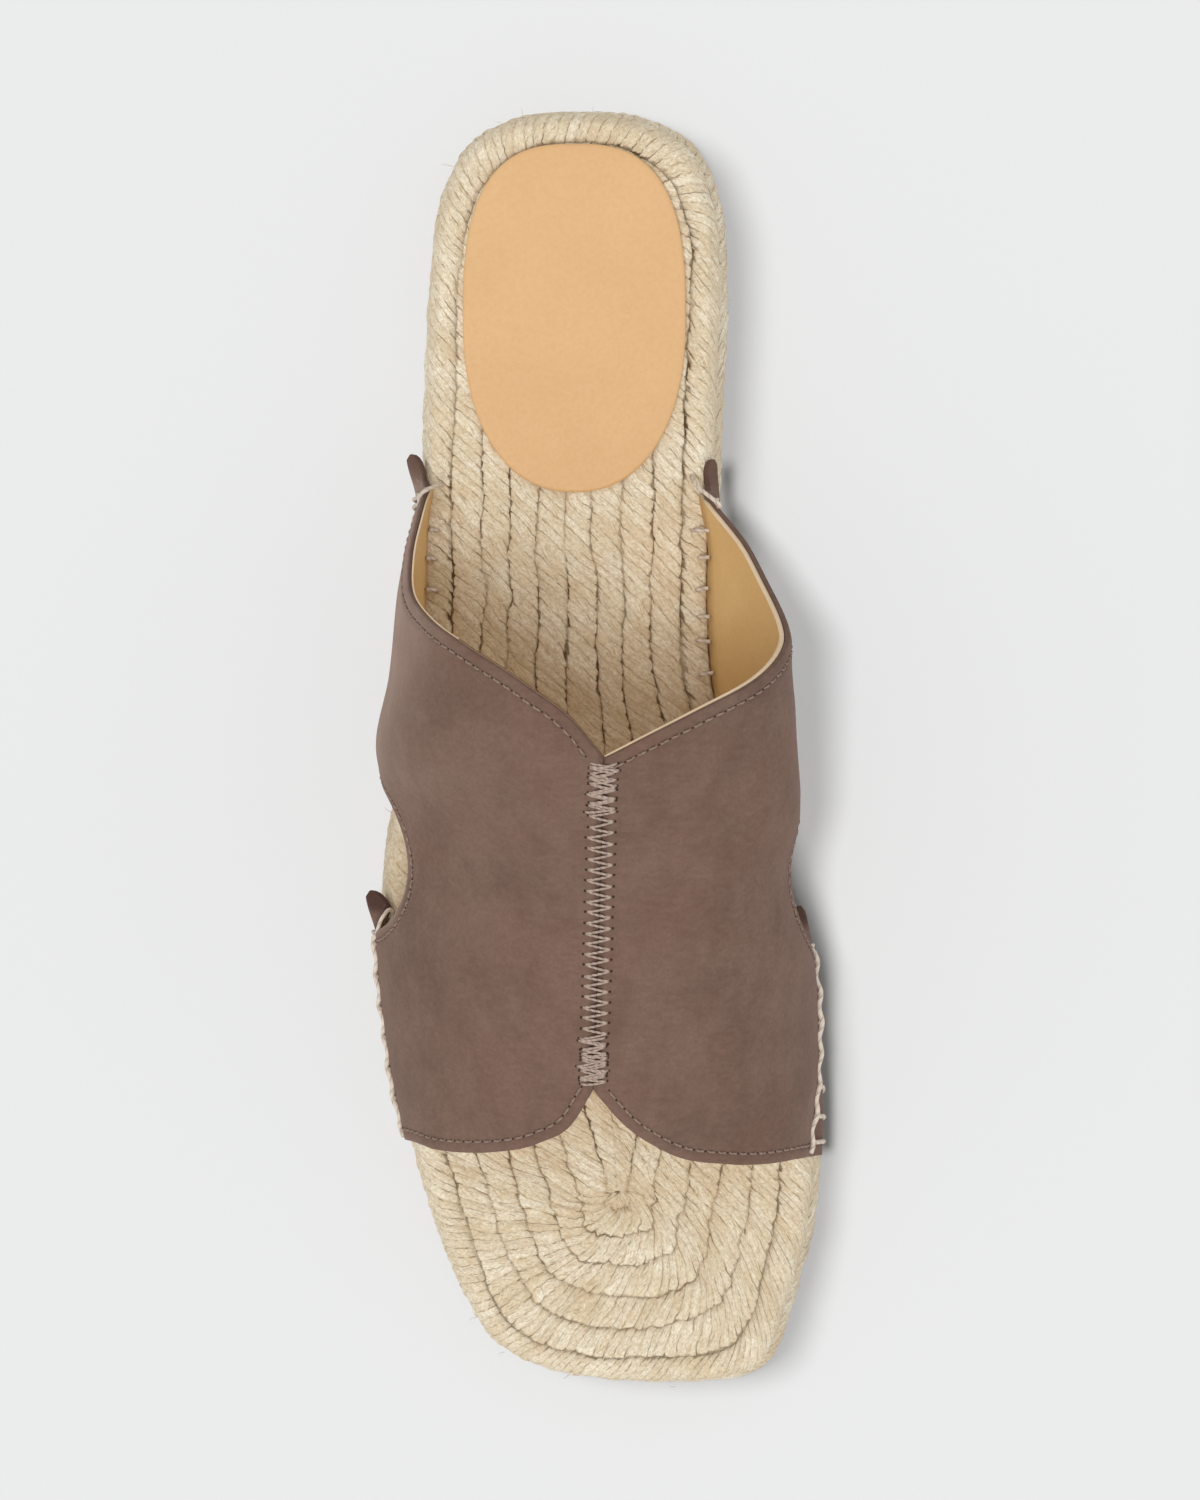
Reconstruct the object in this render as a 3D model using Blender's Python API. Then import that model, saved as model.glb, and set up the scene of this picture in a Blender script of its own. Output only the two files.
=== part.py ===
"""Right-foot espadrille slide: coiled jute sole, hollow two-panel suede upper, leather heel sock.

Metres, +Z up. The toe points to -Y, the heel to +Y, and the inner (medial) side of the foot is +X.
The sole stands on z = 0 with the origin under the middle of the part's box.
All sizes below are in millimetres and are turned into metres when a mesh is made.
"""
import math
from collections import namedtuple

import bmesh
import bpy
import numpy as np

MM = 0.001
LATERAL = -1
MEDIAL = 1

# Sole heights
HEEL_THICKNESS = 22.0
FOREFOOT_THICKNESS = 18.0
TOE_SPRING = 3.5
TOE_SPRING_START = -80.0
TOE_END = -125.5
ARCH_LIFT = 1.2
WAIST_FRONT = -12.0
WAIST_BACK = 48.0

# Rope coil of the sole
OUTER_ROW = 6.8
ROW = 5.65
ROW_COUNT = 8
GROOVE = 1.3
COIL_TOE_Y = -87.0
COIL_HEEL_Y = 96.0
ROUNDING = 2.2

# Upper
WALL = 2.0
HEM_WALL = 1.2
SEAT_GAP = 0.35
HEM_DROP = 6.0
HEM_SEAT = 1.1
FEATHER_OUT = 0.4
TIP_TUCK = 2.0
TIP_RISE = 2.0
LATERAL_FRONT_TUCK = 0.5
MEDIAL_FRONT_TUCK = 2.5
FRONT_RISE = 1.2
FEATHER_RISE = 1.0
SEAM_DIP = 0.4
WALL_HEIGHT_PULL = 0.55
LATERAL_CROWN_PULL = 0.47
MEDIAL_CROWN_PULL = 0.66
REAR_EAR = 4.5
FRONT_EAR = 3.5
EAR_FLARE = 1.2

# Heel sock
SOCK_X = -4.3
SOCK_Y = 84.2
SOCK_HALF_WIDTH = 21.8
SOCK_HALF_LENGTH = 34.0
SOCK_THICKNESS = 1.2
SOCK_GAP = 0.3
SOCK_HEEL_POWER = 2.8
SOCK_FRONT_POWER = 2.25

# Widest outline of the sole: one row per station, the x of its outer and inner edge
SoleStation = namedtuple("SoleStation", "y lateral medial")
SOLE_STATIONS = (
    SoleStation(110.0, -30.8, 23.0),
    SoleStation(92.0, -33.6, 25.1),
    SoleStation(70.0, -34.7, 24.4),
    SoleStation(48.0, -35.2, 23.6),
    SoleStation(26.0, -35.5, 23.1),
    SoleStation(8.0, -37.5, 24.9),
    SoleStation(-8.0, -40.4, 30.2),
    SoleStation(-24.0, -42.9, 35.8),
    SoleStation(-32.0, -43.3, 39.0),
    SoleStation(-40.0, -43.2, 41.8),
    SoleStation(-58.0, -41.2, 43.3),
    SoleStation(-76.0, -37.9, 43.8),
    SoleStation(-94.0, -32.8, 42.4),
    SoleStation(-110.0, -26.1, 38.2),
)
# Round ends of the outline, each in order from the inner to the outer side
EndPoint = namedtuple("EndPoint", "x y")
TOE_POINTS = (
    EndPoint(36.2, -116.5),
    EndPoint(33.4, -121.6),
    EndPoint(28.0, -124.4),
    EndPoint(20.0, -125.4),
    EndPoint(8.0, -125.5),
    EndPoint(-5.1, -124.3),
    EndPoint(-14.5, -121.6),
    EndPoint(-21.2, -117.3),
)
HEEL_POINTS = (
    EndPoint(18.9, 118.4),
    EndPoint(8.4, 124.2),
    EndPoint(-5.4, 125.5),
    EndPoint(-18.2, 123.7),
    EndPoint(-26.1, 118.8),
)

# Side of the sole from the ground up: distance in from the outline, share of the thickness
SideLevel = namedtuple("SideLevel", "inset share")
SIDE_LEVELS = (
    SideLevel(3.0, 0.0),
    SideLevel(0.9, 0.06),
    SideLevel(0.0, 0.25),
    SideLevel(1.3, 0.47),
    SideLevel(1.1, 0.68),
    SideLevel(1.5, 0.88),
    SideLevel(2.9, 0.985),
)

# Sections of the upper's outer face: seam position, seam height over the footbed, side flares
UpperStation = namedtuple("UpperStation", "y seam_x seam_height lateral_flare medial_flare")
UPPER_STATIONS = (
    UpperStation(-90.0, -0.5, 29.0, -2.0, -3.0),
    UpperStation(-65.0, 0.6, 37.0, -3.5, -3.0),
    UpperStation(-40.0, 1.8, 45.0, -6.0, 2.0),
    UpperStation(-22.0, 2.6, 51.0, -4.7, 9.8),
    UpperStation(-11.0, 3.1, 55.0, 1.5, 19.8),
    UpperStation(0.0, 3.6, 59.0, 12.5, 25.1),
    UpperStation(15.0, 4.3, 63.0, 11.2, 28.2),
    UpperStation(30.0, 5.0, 67.0, 10.2, 27.6),
    UpperStation(45.0, 5.5, 70.0, 3.6, 20.5),
    UpperStation(60.0, 6.0, 72.0, 2.0, 10.0),
)

# Front and back edges of the upper, by the share of the way from the sole up to the seam
EdgeRow = namedtuple("EdgeRow", "share lateral_front medial_front lateral_back medial_back")
EDGE_ROWS = (
    EdgeRow(0.00, -77.0, -80.0, 51.0, 50.0),
    EdgeRow(0.10, -76.8, -79.8, 47.0, 41.5),
    EdgeRow(0.20, -77.0, -79.7, 40.0, 31.5),
    EdgeRow(0.30, -77.6, -79.8, 32.5, 25.0),
    EdgeRow(0.45, -77.8, -80.0, 26.0, 19.7),
    EdgeRow(0.60, -77.4, -79.6, 20.8, 14.6),
    EdgeRow(0.80, -75.2, -77.0, 12.8, 8.2),
    EdgeRow(0.93, -71.0, -70.8, 5.8, 2.8),
    EdgeRow(1.00, -64.8, -64.8, -0.6, -0.6),
)

# Arched notch in each side of the upper, at the sole
Notch = namedtuple("Notch", "side y half_width top_share")
NOTCHES = (
    Notch(LATERAL, -20.5, 15.0, 0.27),
    Notch(MEDIAL, -22.0, 16.0, 0.27),
)

# Colours
JUTE = (0.66, 0.55, 0.40)
SUEDE = (0.20, 0.13, 0.10)
TAN_LEATHER = (0.74, 0.46, 0.22)


def soft_step(low, high, value):
    """Goes smoothly from 0 at low to 1 at high."""
    share = np.clip((np.asarray(value, float) - low) / (high - low), 0.0, 1.0)
    return share * share * (3.0 - 2.0 * share)


def table_curve(keys, values, at):
    """Smooth curve through the values of a short table whose keys rise."""
    keys = np.asarray(keys, float)
    values = np.asarray(values, float)
    at = np.clip(np.asarray(at, float), keys[0], keys[-1])
    slope = np.gradient(values, keys)
    left = np.clip(np.searchsorted(keys, at) - 1, 0, len(keys) - 2)
    span = keys[left + 1] - keys[left]
    u = (at - keys[left]) / span
    ends = (2 * u**3 - 3 * u**2 + 1) * values[left] + (3 * u**2 - 2 * u**3) * values[left + 1]
    pulls = (u**3 - 2 * u**2 + u) * slope[left] + (u**3 - u**2) * slope[left + 1]
    return ends + span * pulls


def column(rows, name):
    return [getattr(row, name) for row in rows]


def closed_curve(points, count):
    """Evenly spaced points on a smooth closed curve through a ring of points."""
    wrap = 3
    ring = np.array(list(points[-wrap:]) + list(points) + list(points[: wrap + 1]), float)
    steps = np.linalg.norm(np.diff(ring, axis=0), axis=1)
    length = np.concatenate([[0.0], np.cumsum(steps)])
    at = np.linspace(length[wrap], length[wrap + len(points)], count, endpoint=False)
    return np.stack([table_curve(length, ring[:, axis], at) for axis in (0, 1)], axis=1)


def sole_outline():
    medial = [(row.medial, row.y) for row in SOLE_STATIONS]
    lateral = [(row.lateral, row.y) for row in reversed(SOLE_STATIONS)]
    toe = [tuple(point) for point in TOE_POINTS]
    heel = [tuple(point) for point in reversed(HEEL_POINTS)]
    return closed_curve(medial + toe + lateral + heel, 900)


OUTLINE = sole_outline()


def sole_edge(y, side):
    """The x of the sole's outline at y, on one side."""
    middle = np.interp(OUTLINE[:, 1], column(reversed(SOLE_STATIONS), "y"),
                       [(row.lateral + row.medial) / 2 for row in reversed(SOLE_STATIONS)])
    edge = OUTLINE[(OUTLINE[:, 0] - middle) * side > 0]
    edge = edge[np.argsort(edge[:, 1])]
    return np.interp(y, edge[:, 1], edge[:, 0])


def spine_x(y):
    return (sole_edge(y, LATERAL) + sole_edge(y, MEDIAL)) / 2


def toe_lift(y):
    run = np.clip((TOE_SPRING_START - np.asarray(y, float)) / (TOE_SPRING_START - TOE_END), 0.0, None)
    return TOE_SPRING * run**2


def sole_bottom(y):
    waist = soft_step(WAIST_FRONT, WAIST_FRONT + 22.0, y) * (1.0 - soft_step(WAIST_BACK - 22.0, WAIST_BACK, y))
    return ARCH_LIFT * waist + toe_lift(y)


def sole_top(y):
    rise = soft_step(-35.0, 45.0, y)
    return FOREFOOT_THICKNESS + (HEEL_THICKNESS - FOREFOOT_THICKNESS) * rise + toe_lift(y)


def row_start(index):
    return 0.0 if index == 0 else OUTER_ROW + ROW * (index - 1)


def row_relief(depth):
    """Height of the rope's surface under its crowns, by depth in from the outline."""
    depth = np.asarray(depth, float)
    inner = np.mod(depth - OUTER_ROW, ROW) / ROW
    across = np.where(depth < OUTER_ROW, depth / OUTER_ROW, inner)
    return -GROOVE * np.abs(2.0 * across - 1.0) ** 3


def sole_rays():
    """Outline points, each with the spine point that its ray runs to."""
    levels = np.linspace(COIL_HEEL_Y, COIL_TOE_Y, 35)
    medial = [(sole_edge(y, MEDIAL), y) for y in levels]
    lateral = [(sole_edge(y, LATERAL), y) for y in levels[::-1]]
    toe = end_fan(OUTLINE[OUTLINE[:, 1] < COIL_TOE_Y], 21, MEDIAL)
    heel = end_fan(OUTLINE[OUTLINE[:, 1] > COIL_HEEL_Y], 17, LATERAL)
    rim = np.array(medial + toe + lateral + heel)
    spine_y = np.clip(rim[:, 1], COIL_TOE_Y, COIL_HEEL_Y)
    return rim, np.stack([spine_x(spine_y), spine_y], axis=1)


def end_fan(arc, count, first_side):
    """Evenly spaced points on a round end of the outline, without its two ends."""
    centre = arc.mean(axis=0)
    tip = 1.0 if centre[1] > 0 else -1.0
    angle = np.arctan2((arc[:, 0] - spine_x(COIL_HEEL_Y if tip > 0 else COIL_TOE_Y)) * first_side,
                       (arc[:, 1] - (COIL_HEEL_Y if tip > 0 else COIL_TOE_Y)) * tip)
    arc = arc[np.argsort(-angle)]
    length = np.concatenate([[0.0], np.cumsum(np.hypot(*np.diff(arc, axis=0).T))])
    at = np.linspace(0.0, length[-1], count + 2)[1:-1]
    return [(np.interp(a, length, arc[:, 0]), np.interp(a, length, arc[:, 1])) for a in at]


def new_object(name, vertices, faces, color, roughness):
    mesh = bpy.data.meshes.new(name)
    mesh.from_pydata([tuple(MM * float(value) for value in vertex) for vertex in vertices], [], faces)
    work = bmesh.new()
    work.from_mesh(mesh)
    bmesh.ops.remove_doubles(work, verts=work.verts, dist=2e-5)
    bmesh.ops.recalc_face_normals(work, faces=work.faces)
    for face in work.faces:
        face.smooth = True
    work.to_mesh(mesh)
    work.free()
    material = bpy.data.materials.new(name)
    material.use_nodes = True
    shader = material.node_tree.nodes["Principled BSDF"]
    shader.inputs["Base Color"].default_value = (*color, 1.0)
    shader.inputs["Roughness"].default_value = roughness
    mesh.materials.append(material)
    part = bpy.data.objects.new(name, mesh)
    bpy.context.scene.collection.objects.link(part)
    return part


def ring_faces(loop_count, width):
    """Quads between rings of vertices that lie one after another."""
    return [(k * width + i, k * width + (i + 1) % width, (k + 1) * width + (i + 1) % width, (k + 1) * width + i)
            for k in range(loop_count - 1) for i in range(width)]


def build_sole():
    rim, spine = sole_rays()
    reach = np.hypot(*(rim - spine).T)
    full_depth = np.array([np.min(np.hypot(*(OUTLINE - point).T)) for point in spine])

    def plan_at(depth):
        """Plan points at one depth: round near the spine, true to the outline near the rim."""
        inward = 1.0 - np.minimum(depth, full_depth) / full_depth
        radius = inward * full_depth + (reach - full_depth) * inward**ROUNDING
        return spine + (rim - spine) * (radius / reach)[:, None]

    loops = []
    for depth in (60.0, 20.0):
        plan = plan_at(depth)
        loops.append(np.column_stack([plan, sole_bottom(plan[:, 1])]))
    for level in SIDE_LEVELS:
        plan = plan_at(level.inset)
        low, high = sole_bottom(plan[:, 1]), sole_top(plan[:, 1])
        loops.append(np.column_stack([plan, low + level.share * (high - low)]))
    crown_depths = [0.74 * OUTER_ROW]
    for index in range(1, ROW_COUNT):
        crown_depths += [row_start(index) + ROW * across for across in (0.0, 0.27, 0.73)]
    for depth in crown_depths + [60.0]:
        plan = plan_at(depth)
        loops.append(np.column_stack([plan, sole_top(plan[:, 1]) + row_relief(np.minimum(depth, full_depth))]))
    return new_object("sole", np.concatenate(loops), ring_faces(len(loops), len(rim)), JUTE, 0.9)


def upper_face(y, share, side):
    """Point on the upper's outer face: at a station y, a share of the way from sole to seam."""
    stations = column(UPPER_STATIONS, "y")
    seam_x, height = (table_curve(stations, column(UPPER_STATIONS, name), y) for name in ("seam_x", "seam_height"))
    flare_name = "lateral_flare" if side == LATERAL else "medial_flare"
    crown_pull = LATERAL_CROWN_PULL if side == LATERAL else MEDIAL_CROWN_PULL
    front_tuck = LATERAL_FRONT_TUCK if side == LATERAL else MEDIAL_FRONT_TUCK
    flare = side * table_curve(stations, column(UPPER_STATIONS, flare_name), y)
    tip = soft_step(38.0, 52.0, y)
    toe_end = 1.0 - soft_step(-82.0, -58.0, y)
    side_x = sole_edge(y, side) + side * (FEATHER_OUT - TIP_TUCK * tip)
    foot_x = side_x - side * front_tuck * toe_end
    foot_z = sole_top(y) + FEATHER_RISE + TIP_RISE * tip + FRONT_RISE * toe_end
    top_z = sole_top(y) + height
    wide_x = side_x + flare
    pulls_x = (foot_x, wide_x, seam_x + crown_pull * (wide_x - seam_x), seam_x)
    pulls_z = (foot_z, foot_z + WALL_HEIGHT_PULL * (top_z - foot_z), top_z, top_z)
    weights = ((1 - share) ** 3, 3 * share * (1 - share) ** 2, 3 * share**2 * (1 - share), share**3)
    x = sum(weight * pull for weight, pull in zip(weights, pulls_x))
    z = sum(weight * pull for weight, pull in zip(weights, pulls_z))
    return float(x), float(y), float(z - SEAM_DIP * (share > 0.999))


def hem_face(y, drop, side, flare):
    """Point on the outer face of the hem that lies against the sole's side."""
    slope = (sole_edge(y + 1.0, side) - sole_edge(y - 1.0, side)) / 2.0
    out = (SEAT_GAP + HEM_WALL - HEM_SEAT + flare) * math.hypot(1.0, slope)
    return float(sole_edge(y, side) + side * out), float(y), float(sole_top(y) - drop)


def edge_y(share, side, end):
    name = ("lateral_" if side == LATERAL else "medial_") + end
    return float(table_curve(column(EDGE_ROWS, "share"), column(EDGE_ROWS, name), share))


def upper_columns(notch):
    """Columns from the hem up to just below the seam: height on the wall, hem drop, opening of the notch."""
    columns = [(0.0, HEM_DROP, 1.0), (0.0, HEM_DROP * 0.45, 1.0), (0.0, 0.0, 1.0)]
    for angle in (0.25, 0.5, 0.75, 0.92, 1.0):
        bend = angle * math.pi / 2
        columns.append((notch.top_share * math.sin(bend), 0.0, math.cos(bend)))
    for step in range(1, 9):
        columns.append((notch.top_share + (0.97 - notch.top_share) * step / 8.0, 0.0, 0.0))
    return columns


def upper_strip(notch, share, drop, opening):
    """One column of points, front part then rear part, split by the notch."""
    ear = 1.0 if drop > HEM_DROP * 0.3 else 0.0
    front_steps = np.linspace(0.0, 1.0, 10)
    rear_steps = np.linspace(0.0, 1.0, 12)
    front_end = notch.y - notch.half_width * opening + FRONT_EAR * ear
    rear_start = notch.y + notch.half_width * opening
    front = edge_y(share, notch.side, "front") + front_steps * (front_end - edge_y(share, notch.side, "front"))
    back = edge_y(share, notch.side, "back") + REAR_EAR * ear
    rear = rear_start + rear_steps * (back - rear_start)
    if not ear:
        return [upper_face(y, share, notch.side) for y in list(front) + list(rear)]
    front_flare = EAR_FLARE * soft_step(0.85, 1.0, front_steps)
    rear_flare = EAR_FLARE * soft_step(0.85, 1.0, rear_steps)
    return ([hem_face(y, drop, notch.side, flare) for y, flare in zip(front, front_flare)]
            + [hem_face(y, drop, notch.side, flare) for y, flare in zip(rear, rear_flare)])


def build_upper():
    strips = []
    openings = []
    for notch in NOTCHES:
        columns = upper_columns(notch)
        half = [upper_strip(notch, *values) for values in columns]
        open_here = [values[2] > 1e-6 for values in columns]
        if notch.side == LATERAL:
            strips += half + [upper_strip(notch, 1.0, 0.0, 0.0)]
            openings += open_here + [False]
        else:
            strips += half[::-1]
            openings += open_here[::-1]
    rows = len(strips[0])
    split = 9
    faces = []
    for j in range(len(strips) - 1):
        for i in range(rows - 1):
            across_notch = i == split and (openings[j] or openings[j + 1])
            if not across_notch:
                faces.append((j * rows + i, (j + 1) * rows + i, (j + 1) * rows + i + 1, j * rows + i + 1))
    part = new_object("upper", [point for strip in strips for point in strip], faces, SUEDE, 0.95)
    if sum(face.normal.z * face.area for face in part.data.polygons) < 0:
        part.data.flip_normals()
    full_wall = part.vertex_groups.new(name="full_wall")
    for vertex in part.data.vertices:
        above = vertex.co.z / MM - float(sole_top(vertex.co.y / MM))
        full_wall.add([vertex.index], float(soft_step(-1.0, FEATHER_RISE + 2.0, above)), "REPLACE")
    wall = part.modifiers.new("wall", "SOLIDIFY")
    wall.thickness = WALL * MM
    wall.offset = -1.0
    wall.use_even_offset = True
    wall.use_rim = True
    wall.vertex_group = full_wall.name
    wall.thickness_vertex_group = HEM_WALL / WALL
    return part


def build_heel_sock():
    count = 48
    levels = ((0.55, 0.0), (0.0, 0.35), (0.0, 0.7), (0.5, 1.0))
    loops = []
    for inset, share in levels:
        loop = []
        for i in range(count):
            angle = 2 * math.pi * i / count
            power = SOCK_HEEL_POWER if math.sin(angle) > 0 else SOCK_FRONT_POWER
            x = math.copysign(abs(math.cos(angle)) ** (2 / power), math.cos(angle))
            y = math.copysign(abs(math.sin(angle)) ** (2 / power), math.sin(angle))
            plan_y = SOCK_Y + (SOCK_HALF_LENGTH - inset) * y
            z = sole_top(plan_y) + SOCK_GAP + share * SOCK_THICKNESS
            loop.append((SOCK_X + (SOCK_HALF_WIDTH - inset) * x, plan_y, float(z)))
        loops.append(loop)
    vertices = [point for loop in loops for point in loop]
    faces = ring_faces(len(loops), count)
    faces.append(tuple(reversed(range(count))))
    faces.append(tuple(range(count * (len(loops) - 1), count * len(loops))))
    return new_object("heel_sock", vertices, faces, TAN_LEATHER, 0.55)


for old in list(bpy.data.objects):
    bpy.data.objects.remove(old, do_unlink=True)
build_sole()
build_upper()
build_heel_sock()
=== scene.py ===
"""Looks of the right-foot espadrille slide: coiled jute, suede panels, leather, threads, light and camera.

Sizes are millimetres in the shoe's own frame: the toe points to -Y and the inner side of the foot is +X.
They become metres when a piece is made. A stretch is a pair of places, where a change starts and where it
is complete.
"""
import math
from collections import namedtuple

import bpy
import numpy as np
from mathutils import Matrix, Vector
from mathutils.bvhtree import BVHTree
from mathutils.kdtree import KDTree


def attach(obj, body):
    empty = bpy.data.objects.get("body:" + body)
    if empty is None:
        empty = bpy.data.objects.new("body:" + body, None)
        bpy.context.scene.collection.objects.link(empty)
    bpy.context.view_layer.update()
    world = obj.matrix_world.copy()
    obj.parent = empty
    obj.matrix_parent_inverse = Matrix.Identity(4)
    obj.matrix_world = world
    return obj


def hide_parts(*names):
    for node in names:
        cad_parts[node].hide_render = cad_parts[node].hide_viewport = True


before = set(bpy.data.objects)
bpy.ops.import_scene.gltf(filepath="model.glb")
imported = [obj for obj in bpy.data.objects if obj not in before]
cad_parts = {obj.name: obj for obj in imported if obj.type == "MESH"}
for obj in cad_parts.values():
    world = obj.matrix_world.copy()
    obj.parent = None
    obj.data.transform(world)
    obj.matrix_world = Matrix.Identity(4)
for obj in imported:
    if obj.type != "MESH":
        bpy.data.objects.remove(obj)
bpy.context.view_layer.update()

MM = 0.001
LATERAL = -1
MEDIAL = 1
SIDE_NAMES = {LATERAL: "lateral", MEDIAL: "medial"}

# Sole heights
HEEL_THICKNESS = 22.0
FOREFOOT_THICKNESS = 18.0
HEEL_RISE_STRETCH = (-35.0, 45.0)
TOE_SPRING = 3.5
TOE_SPRING_START = -80.0
TOE_END = -125.5
ARCH_LIFT = 1.2
ARCH_FRONT_STRETCH = (-12.0, 10.0)
ARCH_BACK_STRETCH = (26.0, 48.0)

# Rope coil of the sole
OUTLINE_POINTS = 900
OUTER_ROW = 6.8
ROW = 5.65
ROW_COUNT = 8
COIL_TOE_Y = -87.0
COIL_HEEL_Y = 96.0
ROUNDING = 2.2
SPINE_DRIFT = 1.2
RIB_SHARE = 0.47
COVERED_SHOULDER = 0.3
COVER_EASE = 3.0
WAIST_ROWS = 4
WAIST_ROWS_STRETCH = (-40.0, -12.0)
TOE_ROW_NARROWING = 1.5
TOE_NARROWING_STRETCH = (-120.0, -100.0)
SIDE_RAYS = 400
TOE_RAYS = 310
HEEL_RAYS = 220
GROOVE = 0.7
GROOVE_DEPTHS = (0.25, 0.9)
GROOVE_POWER = 6
UNDERSIDE_GROOVE = 0.7
WANDER = 0.6
WANDER_LENGTH = 13.0
JAG = 0.36
JAG_LENGTH = 2.9
OUTER_SWAY = 0.6
STRAND_VALLEY = 0.32
STRAND_CUTS = (0.35, 0.9)
STRAND_JITTER = 0.4
STRAND_UNEVENNESS = 0.5
UNEVEN_RATE = 0.7
CUT_RATE = 0.37
GROOVE_RATE = 1.0 / 3.0
SHOULDER_EASE = 0.4
TOP_GROOVE = 0.85
ROW_CODE = 100.0
STRAND_PITCH = 2.5
TOE_STRAND_PITCH = 1.95
TOE_PITCH_STRETCH = (-100.0, -65.0)
STRAND_ANGLE = 42.0
TOE_STRAND_ANGLE = {LATERAL: 14.0, MEDIAL: 44.0}
TOE_ANGLE_WIDTH = (-22.0, 26.0)
TOE_ANGLE_STRETCH = (-105.0, -65.0)
HEEL_STRAND_ANGLE = 16.0
HEEL_ANGLE_STRETCH = (98.0, 120.0)
FIBRE_COUNT = 110
FIBRE_RADII = (0.05, 0.05, 0.045, 0.035, 0.015)
FIBRE_RIM = 2.5

# Points across each part of the sole's section
ROW_LEVELS = 13
UNDERSIDE_LEVELS = 5
LOW_RIB_LEVELS = 12
HIGH_RIB_LEVELS = 14
TOP_LEVELS = 9

# Upper
SUEDE_WALL = 1.15
SUEDE_BULGE = 0.12
LINING_GAP = 0.15
LINING_RIM = {LATERAL: 0.35, MEDIAL: 0.95}
LINING_FOOT = {LATERAL: 1.3, MEDIAL: 0.95}
LINING_FOOT_BELOW = (2.0, 12.0)
LINING_FOOT_STRETCH = (-8.0, 6.0)
LINING_SKIRT = 3.2
LINING_PROUD = 0.05
LINING_BULGE = 0.1
RAW_EDGE_END = {LATERAL: 22.0, MEDIAL: -200.0}
HEM_WALL = 1.2
SEAT_GAP = 0.35
HEM_DROP = 6.0
HEM_FOLD = 2.7
HEM_SEAT = 1.1
FEATHER_OUT = 0.4
FEATHER_RISE = 1.0
TIP_TUCK = 2.0
TIP_RISE = 2.0
TIP_STRETCH = (38.0, 52.0)
FRONT_TUCK = {LATERAL: 0.5, MEDIAL: 2.5}
FRONT_RISE = 1.2
FRONT_STRETCH = (-82.0, -58.0)
WALL_HEIGHT_PULL = 0.55
CROWN_PULL = {LATERAL: 0.47, MEDIAL: 0.66}
EAR_ROOT = 3.0
EAR_FULL = 0.8
EAR_BLUNT = 0.16
FLAP_HEIGHT = 6.0
BACK_FLAP_START = (-1.0, 3.5)
BACK_FLAP_TONE = 0.4
NOTCH_FLAP_START = (1.5, 5.0)
WALL_START = (0.5, 3.0)
EDGE_WEAR = 1.3
# Painted sheen on the steep outer wall, standing in for light from the outer side: where it starts along y,
# and the steepness over which it fades
SHEEN_STRETCH = (-14.0, 6.0)
SHEEN_STEEPNESS = (0.15, 0.8)
HEM_LEVELS = 7
FOLD_LIFTS = (0.25, 0.5, 0.75)
FRONT_ROWS = 58
REAR_ROWS = 84
ARCH_COLUMNS = 20
WALL_COLUMNS = 58
NOTCH_PULL = 2.5
LINE_SPACING = 0.2
CREASE_POINTS = 24
CREASE_ENDS = 0.12

# Seams of the upper
BUTT_GAP = 0.12
BUTT_DIP = 0.5
TOPSTITCH_INSET = 2.3
TOPSTITCH_PITCH = 2.4
TOPSTITCH_FILL = 0.74
TOPSTITCH_STEPS = 8
TOPSTITCH_RADIUS = 0.24
TOPSTITCH_SEAM_GAP = 1.3
ZIGZAG_HALF = 2.5
ZIGZAG_PERIOD = 2.05
ZIGZAG_RADIUS = 0.25
ZIGZAG_BACK = -1.2
ZIGZAG_FRONT = -63.6
BAR_TACK = 9.5
HOLE_DEPTH = 0.3
HOLE_PROUD = 0.04
SEAM_HOLE_PROUD = 0.05
SEAM_HOLE_OUT = 0.25
HOLE_RADIUS = 0.24
SEAM_HOLE_RADIUS = 0.27
BLANKET_PITCH = 6.0
BLANKET_RADIUS = 0.5
BLANKET_START = 1.6
BLANKET_FRONT_GAP = 0.8
BLANKET_END_GAP = 1.0
BLANKET_NOTCH_GAP = 0.5
BLANKET_SPACING = 0.6
BLANKET_TUG = 0.3
BLANKET_TWIST = 2.2
SLACK_LENGTH = 5.0
HEM_LINE = 0.02
CREST_LINE = 0.04
LOOP_LEAN = -1.4
LOOP_THICKNESS = 0.92
WRAP_THICKNESS = 0.78
WRAP_TWIST = 2.0
WRAP_SPREADS = (2.6, 4.4)
FLAP_SPREADS = (1.4, 3.0)
RUN_LIFT = {LATERAL: -0.45, MEDIAL: 0.25}
INSIDE_STRETCH = (-2.0, 46.0)
INSIDE_PITCH = 5.6
INSIDE_RADIUS = 0.4
INSIDE_START = {LATERAL: 2.3, MEDIAL: 1.9}
INSIDE_LEAN = {LATERAL: 0.1, MEDIAL: 0.42}
WRAP_BACK = {LATERAL: 0.6, MEDIAL: 3.6}

# Heel sock
SOCK_X = -4.3
SOCK_Y = 84.2
SOCK_HALF_WIDTH = 21.8
SOCK_HALF_LENGTH = 34.0
SOCK_THICKNESS = 1.2
SOCK_GAP = 0.3
SOCK_HEEL_POWER = 2.8
SOCK_FRONT_POWER = 2.25
SOCK_POINTS = 160

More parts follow.
